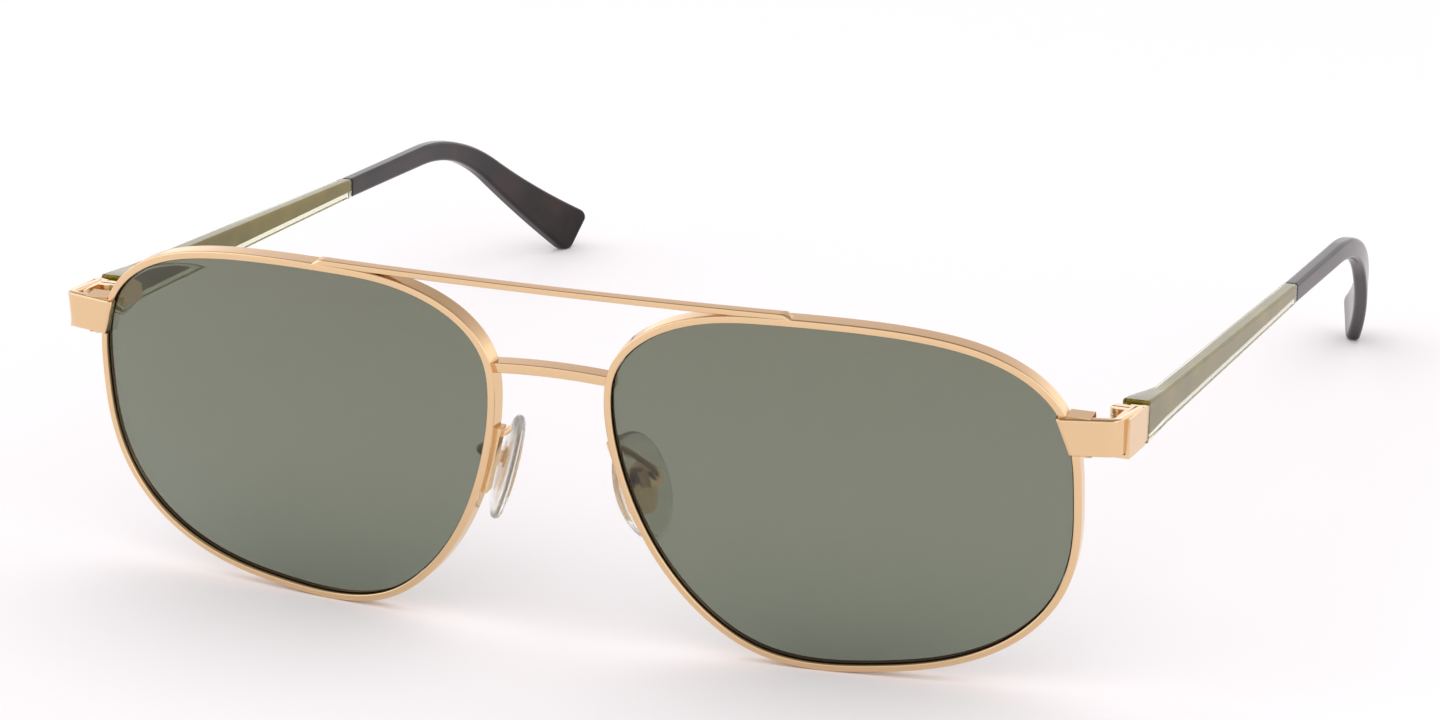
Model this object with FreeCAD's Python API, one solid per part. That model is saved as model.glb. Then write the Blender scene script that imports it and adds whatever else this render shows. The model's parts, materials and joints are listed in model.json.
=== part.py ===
"""Metal-framed sunglasses with acetate temples, as an assembly of separate pieces.

Millimetres. X points to the wearer's left, Y from the front towards the ears, Z up.
Pieces are drawn in the front's own frame, with the lens plane upright and the nose on
X = 0. At the end everything is tilted and moved together, so the glasses lie open on
Z = 0, on the two rims and the two temple tips, with the origin under their middle.
Only the wearer's left side is drawn. The right side is its mirror image.
"""
import FreeCAD, Part
import math
import os

Vector = FreeCAD.Vector

# Front: lenses and rims
LENS_WIDTH = 56.4          # lens opening, nose side to temple side
LENS_HEIGHT = 44.5         # lens opening, top to bottom
BRIDGE_GAP = 16.4          # between the two lens openings at the nose
WRAP = 6.6                 # degrees each lens turns back towards its temple
LENS_CURVE = 159.0         # radius of the lens's ball shape
VERTEX_OUT = 0.5           # middle of the ball shape, out from the opening's middle
VERTEX_UP = 1.0            # and up from it
RIM_FACE = 0.95            # width of the rim's front face
RIM_DEPTH = 2.2            # rim, front to back
LENS_THICKNESS = 1.5
LENS_SETBACK = 0.6         # lens front behind the rim's front
GROOVE = 0.45              # depth of the lens groove in the rim
GROOVE_WIDTH = 0.7         # front to back, in the middle of the lens's edge
LENS_GAP = 0.04            # lens to groove, all round
RIM_SPLIT = 0.2            # saw cut that lets the lens in, behind the end piece

# Shape of the lens opening, in shares of half its width (out) and half its height (up):
# where it is widest, highest and lowest, and how square each corner between them is.
# A squareness of 2 is a quarter of an ellipse, and more is squarer.
OUTER_UP = 0.1             # height of its outermost point
INNER_UP = 0.45            # height of its innermost point
TOP_OUT = -0.3             # place of its highest point
BOTTOM_OUT = -0.2          # place of its lowest point
SQUARE_TOP_OUTER = 3.0
SQUARE_TOP_INNER = 2.2
SQUARE_BOTTOM_INNER = 1.85
SQUARE_BOTTOM_OUTER = 2.7
CORNER_POINTS = 6          # points on each corner

# Brow bar over the rims, and bridge between them
BROW_HALF_LENGTH = 31.6
BROW_HEIGHT = 0.8
BROW_DEPTH = 1.3
BROW_RISE = 0.55           # top of the bar above the tops of the rims
BROW_BACK = 1.0            # front of the bar's ends behind the lens plane
BROW_BOW = 0.8             # how far its middle stands forward of its ends
BROW_END_SLOPE = 1.2       # how far the cut end leans inwards
BRIDGE_UP = 12.0           # top of the bridge at its ends, above the lens plane's middle
BRIDGE_HEIGHT = 1.35
BRIDGE_DEPTH = 2.0
BRIDGE_BACK = 0.5
BRIDGE_ARCH = 0.35         # rise of its middle
BRIDGE_DROOP = 1.05        # fall of the same curve inside the rims

# End pieces: plates soldered on the rims that turn back to the hinges
END_UP = 9.3               # middle of the end piece, above the lens plane's middle
END_HEIGHT = 4.8
END_PLATE = 1.1            # thickness of the plate
END_REACH = 6.4            # from the lens opening out to the corner
END_LENGTH = 9.6           # corner back to the hinge end
END_FLARE = 0.6            # how far the side leg leans out
END_CORNER = 1.7           # outside radius of the corner
PLATE_PROUD = 0.55         # plate's face in front of the rim's face
END_DROP = 2.2             # how much lower the leg ends than it starts
END_DROP_FROM = 0.5        # where it starts to slope, behind the corner
CORNER_BACK = 0.7          # corner behind the lens opening's edge
PLATE_LEAN = 0.25          # how much further forward the plate's inner end stands
PLATE_SPARE = 0.8          # drawn past the lens opening's edge, then trimmed
LEG_SPARE = 4.0            # drawn past the hinge end, then trimmed

# Rim locks: two blocks closed by a screw
LOCK_LENGTH = 2.1          # along X
LOCK_DEPTH = 2.2           # along Y
LOCK_HEIGHT = 2.4          # each block
LOCK_PROUD = 0.1           # behind the rim's back
LOCK_SCREW_OUT = 1.35      # screw's axis out from the rim
LOCK_SCREW_AHEAD = 0.75    # and ahead of the rim's back
LOCK_SCREW_RADIUS = 0.5
LOCK_HEAD_RADIUS = 0.7
LOCK_HEAD_HEIGHT = 0.4

# Hinges
PITCH = 10.0               # degrees the temples slope down from the lens plane's normal
HINGE_AHEAD = 2.7          # axis, ahead of the end piece's rear
KNUCKLE_RADIUS = 1.25
KNUCKLE_TO_PLATE = 0.35    # knuckle to the inside of the end piece
KNUCKLE_HEIGHT = 0.92
KNUCKLE_GAP = 0.06
HINGE_SCREW_RADIUS = 0.6
HINGE_SCREW_PLAY = 0.04    # radial
HINGE_HEAD_RADIUS = 1.05
HINGE_HEAD_HEIGHT = 0.45
LEAF = 0.8                 # thickness of the front leaf
LEAF_AHEAD = 5.0           # how far it reaches ahead of the axis
LEAF_BEHIND = 1.6          # and behind it
TANG = 1.0                 # thickness of the temple leaf
TANG_HEIGHT = 3.2
TANG_DEPTH = 6.0           # how far the tang goes into the temple
HINGE_CLEAR = 0.08

# Temples
TEMPLE_STRAIGHT = 109.0    # hinge to the corner of the bend
TIP_BEYOND = 36.2          # corner of the bend to the end
TIP_DROP = 33.4            # degrees the tip turns down
BEND_RADIUS = 40.0
SEAM_AT = 72.5             # where the bar meets the tip
STOP_GAP = 0.2             # open temple to end piece
BLOCK_THICKNESS = 3.4      # temple's front end, across
BLOCK_LENGTH = 9.0         # where the front end has thinned to the bar
BAR_THICKNESS = 2.0
TIP_IN = 7.0               # how far the tip's end comes in towards the head
TIP_IN_FROM = 90.0         # where it starts to come in
TEMPLE_RAISE = 0.6         # middle of the temple's end above the end piece's
FRONT_HALF_HEIGHT = 2.65
BAR_HALF_HEIGHT = 2.35
SEAM_HALF_HEIGHT = 1.38
BEND_HALF_HEIGHT = 1.45
END_HALF_HEIGHT = 3.5
END_CORNER_RADIUS = 1.6    # rounding of the tip's end
SKIN_SIDE = 0.45           # clear acetate over the core, at the sides
SKIN_TOP = 0.3
SKIN_BOTTOM = 1.0
WIRE_HALF_HEIGHT = 0.45
WIRE_RAISE = 0.35          # wire above the temple's middle, as the core is
WIRE_THICKNESS = 0.8
WIRE_SHORT_OF_END = 12.0

# Nose pads
PAD_CENTRE = (9.1, 5.9, -4.6)   # out from the nose, back, up
PAD_LENGTH = 14.0
PAD_WIDTH = 8.8
PAD_THICKNESS = 2.0
PAD_EDGE = 0.8             # rounding of its edge
PAD_SPLAY = 25.0           # degrees the pad's face turns to the back
PAD_TILT = 18.0            # degrees it turns down
INSERT_LENGTH = 6.6
INSERT_WIDTH = 3.6
INSERT_THICKNESS = 0.6
LUG_THICKNESS = 0.9
LUG_RADIUS = 0.6
PAD_AXIS_BACK = 2.1        # pad's middle to the axis it rocks about
PAD_AXIS_UP = 1.2          # axis above the pad's middle
PAD_SCREW_RADIUS = 0.35
PAD_SCREW_PLAY = 0.04
PAD_HEAD_RADIUS = 0.6
PAD_HEAD_HEIGHT = 0.35
BOX_WALL = 0.5
BOX_HEIGHT = 2.0
BOX_PLAY = 0.12            # lug to box, each side
BOX_LIP = 0.2              # box ahead of the lug's round end
ARM_RADIUS = 0.45
ARM_BEND = 0.9
FOOT_LENGTH = 9.0          # strip soldered along the rim
FOOT_UP = 7.9              # its top above the pad's middle
FOOT_THICKNESS = 0.7
FOOT_DEPTH = 1.2
FOOT_PROUD = 0.35          # behind the rim's back
ARM_LEAVES_BELOW = 0.9     # wire leaves the strip below its top
ARM_BACK = 2.8             # how far back it runs before it turns down
ARM_FALL = 0.5             # and how far it falls on the way
ARM_BEHIND_BOX = 1.3       # it comes to the box from this far outside
ARM_ABOVE_BOX = 0.5        # and this far above

SLOT_SHARE = 0.3           # width of a driver's slot, as a share of the head's radius
FAR = 400.0                # longer than anything cut
PRISM_AHEAD = 10.0         # outlines are pushed from this far ahead of the lens plane
PRISM_DEPTH = 40.0         # to this much further back
SAMPLES = 48               # points on each offset outline
FINE_SAMPLES = 400         # points when an outline is measured
EDGE_POINTS = 15           # points on each long edge of a temple
TIP_POINTS = 25            # and on the tip's plan
REST_PASSES = 8            # repeats when the resting tilt is found


def box(x0, y0, z0, x1, y1, z1):
    """A block between two corners."""
    return Part.makeBox(x1 - x0, y1 - y0, z1 - z0, Vector(x0, y0, z0))


def slab(points, direction):
    """A flat closed outline of straight edges, pushed along a direction."""
    corners = [Vector(*p) for p in points]
    return Part.Face(Part.makePolygon(corners + corners[:1])).extrude(direction)


def rounded_path(corners, radii):
    """Straight runs joined by tangent arcs; one radius for each inner corner."""
    edges = []
    start = corners[0]
    for before, corner, after, radius in zip(corners, corners[1:], corners[2:], radii):
        come = (before - corner).normalize()
        go = (after - corner).normalize()
        half = come.getAngle(go) / 2.0
        cut = radius / math.tan(half)
        enter = corner + come * cut
        leave = corner + go * cut
        middle = corner + (come + go).normalize() * (radius / math.sin(half) - radius)
        edges.append(Part.LineSegment(start, enter).toShape())
        edges.append(Part.Arc(enter, middle, leave).toShape())
        start = leave
    edges.append(Part.LineSegment(start, corners[-1]).toShape())
    return edges


def rod(corners, radii, radius):
    """A round wire along a path of runs and arcs."""
    path = Part.Wire(rounded_path(corners, radii))
    ring = Part.Wire(Part.makeCircle(radius, corners[0], corners[1] - corners[0]))
    return path.makePipeShell([ring], True, False)


def ease(share):
    """Runs smoothly from 0 to 1."""
    share = min(max(share, 0.0), 1.0)
    return share * share * (3.0 - 2.0 * share)


# ---------------------------------------------------------------- lens outline

def corner_shares(middle, reach, square, start):
    """A quarter turn of |x / a| ^ n + |y / b| ^ n = 1 about a middle, its last point left out."""
    points = []
    for step in range(CORNER_POINTS):
        angle = math.radians(start + 90.0 * step / CORNER_POINTS)
        x, y = math.cos(angle), math.sin(angle)
        size = (abs(x) ** square + abs(y) ** square) ** (-1.0 / square)
        points.append((middle[0] + reach[0] * size * x, middle[1] + reach[1] * size * y))
    return points


def outline_shares():
    """The lens opening, from its innermost point down and round, as four corners."""
    corners = [
        (BOTTOM_OUT, INNER_UP, 1 + BOTTOM_OUT, 1 + INNER_UP, SQUARE_BOTTOM_INNER),
        (BOTTOM_OUT, OUTER_UP, 1 - BOTTOM_OUT, 1 + OUTER_UP, SQUARE_BOTTOM_OUTER),
        (TOP_OUT, OUTER_UP, 1 - TOP_OUT, 1 - OUTER_UP, SQUARE_TOP_OUTER),
        (TOP_OUT, INNER_UP, 1 + TOP_OUT, 1 - INNER_UP, SQUARE_TOP_INNER)]
    points = []
    for turn, (x, y, wide, high, square) in enumerate(corners):
        points += corner_shares((x, y), (wide, high), square, 180 + 90 * turn)
    return points


def opening_curve():
    """The lens opening as one closed curve in the lens's own plane (X out, Z up)."""
    half_width = LENS_WIDTH / 2.0
    half_height = LENS_HEIGHT / 2.0
    points = [Vector(u * half_width - VERTEX_OUT, 0, v * half_height - VERTEX_UP) for u, v in outline_shares()]
    curve = Part.BSplineCurve()
    curve.interpolate(Points=points, PeriodicFlag=True)
    return curve


OPENING = opening_curve()


def opening_point(share, offset=0.0):
    """A point of the opening's curve, moved outwards by an offset."""
    first = OPENING.FirstParameter
    at = first + share * (OPENING.LastParameter - first)
    point = OPENING.value(at)
    along = OPENING.tangent(at)[0]
    return point + Vector(along.z, 0, -along.x).normalize() * offset


def outline_prism(offset):
    """The opening grown by an offset, pushed through the lens's whole depth."""
    curve = OPENING
    if offset:
        curve = Part.BSplineCurve()
        points = [opening_point(i / SAMPLES, offset) for i in range(SAMPLES)]
        curve.interpolate(Points=points, PeriodicFlag=True)
    face = Part.Face(Part.Wire(curve.toShape()))
    face.translate(Vector(0, -PRISM_AHEAD, 0))
    return face.extrude(Vector(0, PRISM_DEPTH, 0))


def lens_ball(depth):
    """The ball whose front is the rim's front, made smaller by a depth."""
    return Part.makeSphere(LENS_CURVE - depth, Vector(0, LENS_CURVE, 0))


def sag(u, v):
    """How far the ball's front lies behind its vertex."""
    return LENS_CURVE - math.sqrt(LENS_CURVE ** 2 - u * u - v * v)


WRAP_COS = math.cos(math.radians(WRAP))
WRAP_SIN = math.sin(math.radians(WRAP))
NASAL_U = -LENS_WIDTH / 2.0 - VERTEX_OUT
LENS_X = BRIDGE_GAP / 2.0 - NASAL_U * WRAP_COS + sag(NASAL_U, 0) * WRAP_SIN


def to_front(shape):
    """Moves a shape from the lens's own plane to the front's frame."""
    moved = shape.copy()
    moved.rotate(Vector(0, 0, 0), Vector(0, 0, 1), WRAP)
    moved.translate(Vector(LENS_X, 0, 0))
    return moved


def front_point(u, v, depth=0.0):
    """The front-frame place of a point on the rim's front, or behind it."""
    back = sag(u, v) + depth
    return Vector(LENS_X + u * WRAP_COS - back * WRAP_SIN, u * WRAP_SIN + back * WRAP_COS, v)


def opening_reach(v, side):
    """How far the opening reaches at a height: side 1 is the temple's, -1 the nose's."""
    points = [opening_point(i / FINE_SAMPLES) for i in range(FINE_SAMPLES + 1)]
    for a, b in zip(points, points[1:]):
        if a.x * side > 0 and (a.z - v) * (b.z - v) <= 0 and a.z != b.z:
            return a.x + (b.x - a.x) * (v - a.z) / (b.z - a.z)
    raise ValueError("the opening does not reach this height")


PRISM_OPENING = outline_prism(0.0)
PRISM_RIM = outline_prism(RIM_FACE)
RIM_SOLID = to_front(PRISM_RIM.common(lens_ball(0)).cut(lens_ball(RIM_DEPTH)))
OPENING_SOLID = to_front(PRISM_OPENING)
RIM_TOP = max(opening_point(i / FINE_SAMPLES).z for i in range(FINE_SAMPLES)) + RIM_FACE


def curved_disc(prism, start, thickness):
    """A prism cut to a curved disc between two depths behind the rim's front."""
    return prism.common(lens_ball(start)).cut(lens_ball(start + thickness))


GROOVE_START = LENS_SETBACK + (LENS_THICKNESS - GROOVE_WIDTH) / 2.0


def make_lens():
    """A curved disc that fills the opening, with a tongue round its edge for the groove."""
    body = curved_disc(outline_prism(-LENS_GAP), LENS_SETBACK, LENS_THICKNESS)
    tongue = curved_disc(outline_prism(GROOVE - LENS_GAP), GROOVE_START + LENS_GAP,
                         GROOVE_WIDTH - 2 * LENS_GAP)
    return to_front(body.fuse(tongue))


def make_rim():
    """A ring on the ball, grooved inside for the lens and sawn through at the lock."""
    groove = curved_disc(outline_prism(GROOVE), GROOVE_START, GROOVE_WIDTH)
    ring = curved_disc(PRISM_RIM, 0, RIM_DEPTH).cut(PRISM_OPENING).cut(groove)
    half = RIM_SPLIT / 2.0
    saw = box(LENS_X, -FAR, END_UP - half, FAR, FAR, END_UP + half)
    return to_front(ring).cut(saw)


# ---------------------------------------------------------------- brow bar and bridge

def both_sides(shape):
    """A shape and its mirror image across the nose."""
    return [shape, shape.mirror(Vector(0, 0, 0), Vector(1, 0, 0))]


def make_brow_bar():
    """A bar lying on both rims, bowed slightly forward, its ends cut at a slant."""
    top = RIM_TOP + BROW_RISE
    low = top - BROW_HEIGHT
    end = BROW_HALF_LENGTH
    tip = end - BROW_END_SLOPE
    arcs = []
    for y in (BROW_BACK, BROW_BACK + BROW_DEPTH):
        arcs.append([Vector(-end, y, low), Vector(0, y - BROW_BOW, low), Vector(end, y, low)])
    front, back = arcs
    edges = [Part.Arc(*front).toShape(), Part.LineSegment(front[2], back[2]).toShape(),
             Part.Arc(*back).toShape(), Part.LineSegment(back[0], front[0]).toShape()]
    plan = Part.Face(Part.Wire(edges)).extrude(Vector(0, 0, BROW_HEIGHT))
    ahead = -FAR / 2.0
    outline = [(-end, ahead, low), (end, ahead, low), (tip, ahead, top), (-tip, ahead, top)]
    bar = plan.common(slab(outline, Vector(0, FAR, 0)))
    return clear_of_rims(bar)


def make_bridge():
    """A slightly arched bar between the two rims, shaped to their sides."""
    end = BRIDGE_GAP
    ends = []
    for drop in (0.0, BRIDGE_HEIGHT):
        z = BRIDGE_UP - drop
        ends.append([Vector(-end, BRIDGE_BACK, z - BRIDGE_DROOP), Vector(0, BRIDGE_BACK, z + BRIDGE_ARCH),
                     Vector(end, BRIDGE_BACK, z - BRIDGE_DROOP)])
    top, low = ends
    edges = [Part.Arc(*top).toShape(), Part.LineSegment(top[2], low[2]).toShape(),
             Part.Arc(*low).toShape(), Part.LineSegment(low[0], top[0]).toShape()]
    bar = Part.Face(Part.Wire(edges)).extrude(Vector(0, BRIDGE_DEPTH, 0))
    return clear_of_rims(bar)


def largest(shape):
    """The biggest of the solids that a cut leaves."""
    return max(shape.Solids, key=lambda solid: solid.Volume)


def clear_of_rims(shape):
    """What is left of a bar outside both rims and both lens openings."""
    for solid in both_sides(RIM_SOLID) + both_sides(OPENING_SOLID):
        shape = shape.cut(solid)
    return largest(shape)


# ---------------------------------------------------------------- end piece and rim lock

TEMPLE_EDGE = opening_reach(END_UP, 1)
EDGE = front_point(TEMPLE_EDGE, END_UP)                 # lens opening beside the end piece
CORNER = Vector(EDGE.x + END_REACH, EDGE.y + CORNER_BACK, 0)    # outside corner of the end piece
REAR = Vector(CORNER.x + END_FLARE, CORNER.y + END_LENGTH, 0)
START = Vector(EDGE.x - PLATE_SPARE, EDGE.y - PLATE_PROUD - PLATE_LEAN, 0)
# in from the end piece's outer face to the hinge's axis
HINGE_IN = END_PLATE + KNUCKLE_TO_PLATE + KNUCKLE_RADIUS
HINGE = Vector(REAR.x - HINGE_IN, REAR.y - HINGE_AHEAD, END_UP - END_DROP + TEMPLE_RAISE)


def to_temple(shape):
    """Moves a shape from the hinge's own frame, with the temple along Y, to the front's."""
    moved = shape.copy()
    moved.rotate(Vector(0, 0, 0), Vector(1, 0, 0), -PITCH)
    moved.translate(HINGE)
    return moved


def make_end_piece():
    """A plate on the rim that turns back round a rounded corner and slopes down."""
    face_turn = (CORNER - START).normalize()
    leg_turn = (REAR - CORNER).normalize()
    face_in = Vector(-face_turn.y, face_turn.x, 0) * END_PLATE
    leg_in = Vector(-leg_turn.y, leg_turn.x, 0) * END_PLATE
    # inner corner: where the two inner faces meet
    gap = leg_in - face_in
    cross = face_turn.x * leg_turn.y - face_turn.y * leg_turn.x
    along = (gap.x * leg_turn.y - gap.y * leg_turn.x) / cross
    inner_corner = CORNER + face_in + face_turn * along
    rear = REAR + leg_turn * LEG_SPARE
    outer = rounded_path([START, CORNER, rear], [END_CORNER])
    inner = rounded_path([rear + leg_in, inner_corner, START + face_in], [END_CORNER - END_PLATE])
    edges = outer + [Part.LineSegment(rear, rear + leg_in).toShape()] + inner
    edges.append(Part.LineSegment(START + face_in, START).toShape())
    plate = Part.Face(Part.Wire(edges)).extrude(Vector(0, 0, FAR / 2.0))
    plate.translate(Vector(0, 0, -FAR / 4.0))
    half = END_HEIGHT / 2.0
    ahead = -FAR / 2.0
    bend = CORNER.y + END_DROP_FROM
    beyond = REAR.y + LEG_SPARE
    low = END_UP - END_DROP / END_LENGTH * (beyond - bend)
    outline = [(0, ahead, END_UP - half), (0, ahead, END_UP + half), (0, bend, END_UP + half),
               (0, beyond, low + half), (0, beyond, low - half), (0, bend, END_UP - half)]
    side = slab(outline, Vector(FAR, 0, 0))
    behind = to_temple(box(-FAR, HINGE_AHEAD, -FAR, FAR, FAR, FAR))
    return largest(plate.common(side).cut(behind).cut(RIM_SOLID).cut(OPENING_SOLID))


LOCK_EDGE = front_point(TEMPLE_EDGE + RIM_FACE, END_UP)
LOCK_X = LOCK_EDGE.x + LOCK_LENGTH
LOCK_AXIS = Vector(LOCK_EDGE.x + LOCK_SCREW_OUT, EDGE.y + RIM_DEPTH - LOCK_SCREW_AHEAD, END_UP)


def make_locks(end_piece):
    """Upper and lower lock block and the screw that closes them."""
    half = RIM_SPLIT / 2.0
    back = EDGE.y + RIM_DEPTH + LOCK_PROUD
    blocks = []
    for sign in (1, -1):
        low, high = sorted((END_UP + sign * half, END_UP + sign * (half + LOCK_HEIGHT)))
        block = box(EDGE.x, back - LOCK_DEPTH, low, LOCK_X, back, high)
        block = block.cut(RIM_SOLID).cut(OPENING_SOLID).cut(end_piece)
        blocks.append(block)
    bottom = END_UP - half - LOCK_HEIGHT
    bore = Part.makeCylinder(LOCK_SCREW_RADIUS, FAR, LOCK_AXIS - Vector(0, 0, FAR / 2.0))
    upper, lower = [largest(block.cut(bore)) for block in blocks]
    length = 2 * (half + LOCK_HEIGHT)
    shank = Part.makeCylinder(LOCK_SCREW_RADIUS, length, Vector(LOCK_AXIS.x, LOCK_AXIS.y, bottom))
    head_at = Vector(LOCK_AXIS.x, LOCK_AXIS.y, bottom - LOCK_HEAD_HEIGHT)
    head = Part.makeCylinder(LOCK_HEAD_RADIUS, LOCK_HEAD_HEIGHT, head_at)
    screw = slotted(shank.fuse(head), head_at, LOCK_HEAD_RADIUS, LOCK_HEAD_HEIGHT / 2.0)
    return upper, lower, screw.cut(end_piece)


def slotted(screw, end, radius, depth):
    """Cuts a driver's slot across a screw's end that faces up or down."""
    width = radius * SLOT_SHARE
    slot = box(end.x - radius, end.y - width / 2.0, end.z - depth, end.x + radius, end.y + width / 2.0,
               end.z + depth)
    return screw.cut(slot)


# ---------------------------------------------------------------- hinge, in its own frame

LEVELS = 5
BARREL = LEVELS * KNUCKLE_HEIGHT + (LEVELS - 1) * KNUCKLE_GAP


def knuckle_level(index):
    """Lowest height of a knuckle; even ones belong to the front, odd ones to the temple."""
    return -BARREL / 2.0 + index * (KNUCKLE_HEIGHT + KNUCKLE_GAP)


def barrel(indexes, radius, grow):
    """Cylinders at some knuckle levels, each grown up and down."""
    rings = []
    for index in indexes:
        low = Vector(0, 0, knuckle_level(index) - grow)
        rings.append(Part.makeCylinder(radius, KNUCKLE_HEIGHT + 2 * grow, low))
    return rings


def make_hinge(end_piece):
    """Front leaf, temple leaf and screw of a five-knuckle hinge."""
    front_levels = range(0, LEVELS, 2)
    temple_levels = range(1, LEVELS, 2)
    bore = Part.makeCylinder(HINGE_SCREW_RADIUS + HINGE_SCREW_PLAY, FAR, Vector(0, 0, -FAR / 2.0))
    clear = KNUCKLE_RADIUS + HINGE_CLEAR

    inner_face = HINGE_IN - END_PLATE
    front = box(inner_face - LEAF, -LEAF_AHEAD, -BARREL / 2.0,
                inner_face + END_PLATE, LEAF_BEHIND, BARREL / 2.0)
    for ring in barrel(front_levels, KNUCKLE_RADIUS, 0.0):
        front = front.fuse(ring)
    for index in front_levels:
        low = knuckle_level(index)
        front = front.fuse(box(0, -KNUCKLE_RADIUS, low, inner_face, 0, low + KNUCKLE_HEIGHT))
    for ring in barrel(temple_levels, clear, KNUCKLE_GAP):
        front = front.cut(ring)
    top = knuckle_level(LEVELS - 1) + KNUCKLE_HEIGHT
    sink = Part.makeCylinder(HINGE_HEAD_RADIUS, HINGE_HEAD_HEIGHT, Vector(0, 0, top - HINGE_HEAD_HEIGHT))
    front = front.cut(bore).cut(sink)
    front = largest(to_temple(front).cut(end_piece))

    temple = box(-TANG / 2.0, 0, -TANG_HEIGHT / 2.0, TANG / 2.0, HINGE_AHEAD + STOP_GAP + TANG_DEPTH,
                 TANG_HEIGHT / 2.0)
    for ring in barrel(front_levels, clear, KNUCKLE_GAP):
        temple = temple.cut(ring)
    for ring in barrel(temple_levels, KNUCKLE_RADIUS, 0.0):
        temple = temple.fuse(ring)
    temple = to_temple(temple.cut(bore))

    bottom = knuckle_level(0)
    shank = Part.makeCylinder(HINGE_SCREW_RADIUS, top - bottom, Vector(0, 0, bottom))
    head = Part.makeCylinder(HINGE_HEAD_RADIUS, HINGE_HEAD_HEIGHT, Vector(0, 0, top - HINGE_HEAD_HEIGHT))
    screw = slotted(shank.fuse(head), Vector(0, 0, top), HINGE_HEAD_RADIUS, HINGE_HEAD_HEIGHT / 2.0)
    return front, largest(temple), to_temple(screw)


# ---------------------------------------------------------------- temple, in the hinge's frame

HALF_DROP = math.radians(TIP_DROP) / 2.0
TANGENT = BEND_RADIUS * math.tan(HALF_DROP)
BEND_START = TEMPLE_STRAIGHT - TANGENT
BEND_LENGTH = BEND_RADIUS * 2.0 * HALF_DROP
TEMPLE_END = BEND_START + BEND_LENGTH + TIP_BEYOND - TANGENT
TEMPLE_FACE = HINGE_AHEAD + STOP_GAP      # front end of the temple


def spine(s):
    """The temple's middle line at a distance from the hinge: (y, z, angle down)."""
    if s <= BEND_START:
        return s, 0.0, 0.0
    turn = min((s - BEND_START) / BEND_RADIUS, 2.0 * HALF_DROP)
    y = BEND_START + BEND_RADIUS * math.sin(turn)
    z = -BEND_RADIUS * (1.0 - math.cos(turn))
    rest = max(s - BEND_START - BEND_LENGTH, 0.0)
    return y + rest * math.cos(turn), z - rest * math.sin(turn), turn


def half_height(s):
    """Half the temple's height at a distance from the hinge."""
    if s < SEAM_AT:
        start_share = ease((s - TEMPLE_FACE) / BLOCK_LENGTH)
        start = FRONT_HALF_HEIGHT + (BAR_HALF_HEIGHT - FRONT_HALF_HEIGHT) * start_share
        share = max(s - TEMPLE_FACE, 0.0) / (SEAM_AT - TEMPLE_FACE)
        return start + (SEAM_HALF_HEIGHT - BAR_HALF_HEIGHT) * share
    middle = BEND_START + BEND_LENGTH / 2.0
    if s < middle:
        bend_share = ease((s - SEAM_AT) / (middle - SEAM_AT))
        return SEAM_HALF_HEIGHT + (BEND_HALF_HEIGHT - SEAM_HALF_HEIGHT) * bend_share
    share = (s - middle) / (TEMPLE_END - middle)
    return BEND_HALF_HEIGHT + (END_HALF_HEIGHT - BEND_HALF_HEIGHT) * share * (0.5 + 0.5 * share)


def centre_x(y):
    """The temple's middle in plan, from the hinge's axis."""
    share = max(y - TIP_IN_FROM, 0.0) / (spine(TEMPLE_END)[0] - TIP_IN_FROM)
    return HINGE_IN - BAR_THICKNESS / 2.0 - TIP_IN * share ** 3


def edge_point(s, up, trim):
    """A point of the temple's upper or lower edge, drawn in by a trim."""
    y, z, turn = spine(s)
    reach = up * (half_height(s) - trim)
    return Vector(0, y + reach * math.sin(turn), z + reach * math.cos(turn))


def spaced(start, end, count):
    """Numbers evenly spaced from start to end."""
    return [start + (end - start) * i / (count - 1.0) for i in range(count)]


def curve_edge(points):
    """A smooth edge through some points."""
    curve = Part.BSplineCurve()
    curve.interpolate(Points=points)
    return curve.toShape()


def side_slab(start, end, trim_top, trim_low):
    """The side view between two distances, pushed across the temple."""
    upper = [edge_point(s, 1, trim_top) for s in spaced(start, end, EDGE_POINTS)]
    lower = [edge_point(s, -1, trim_low) for s in spaced(end, start, EDGE_POINTS)]
    return between_edges(upper, lower)


def between_edges(upper, lower):
    """Two long curved edges joined at their ends, pushed across the temple."""
    edges = [curve_edge(upper), Part.LineSegment(upper[-1], lower[0]).toShape(),
             curve_edge(lower), Part.LineSegment(lower[-1], upper[0]).toShape()]
    return pushed_across(edges)


def pushed_across(edges):
    """A closed outline in side view, pushed across the temple both ways."""
    side = Part.Face(Part.Wire(edges)).extrude(Vector(FAR, 0, 0))
    side.translate(Vector(-FAR / 2.0, 0, 0))
    return side


def plan_slab(start, end, outer, inner, count=EDGE_POINTS):
    """The plan view between two places on Y, pushed up and down."""
    out = [Vector(outer(y), y, -FAR / 2.0) for y in spaced(start, end, count)]
    back = [Vector(inner(y), y, -FAR / 2.0) for y in spaced(end, start, count)]
    edges = [curve_edge(out), Part.LineSegment(out[-1], back[0]).toShape(),
             curve_edge(back), Part.LineSegment(back[-1], out[0]).toShape()]
    return Part.Face(Part.Wire(edges)).extrude(Vector(0, 0, FAR))


def outer_face(y):
    """The temple's outer face in plan."""
    return centre_x(y) + BAR_THICKNESS / 2.0


def inner_face(y):
    """The temple's inner face in plan, thickened at the front for the hinge."""
    extra = (BLOCK_THICKNESS - BAR_THICKNESS) * (1.0 - ease((y - TEMPLE_FACE) / BLOCK_LENGTH))
    return centre_x(y) - BAR_THICKNESS / 2.0 - extra


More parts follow.
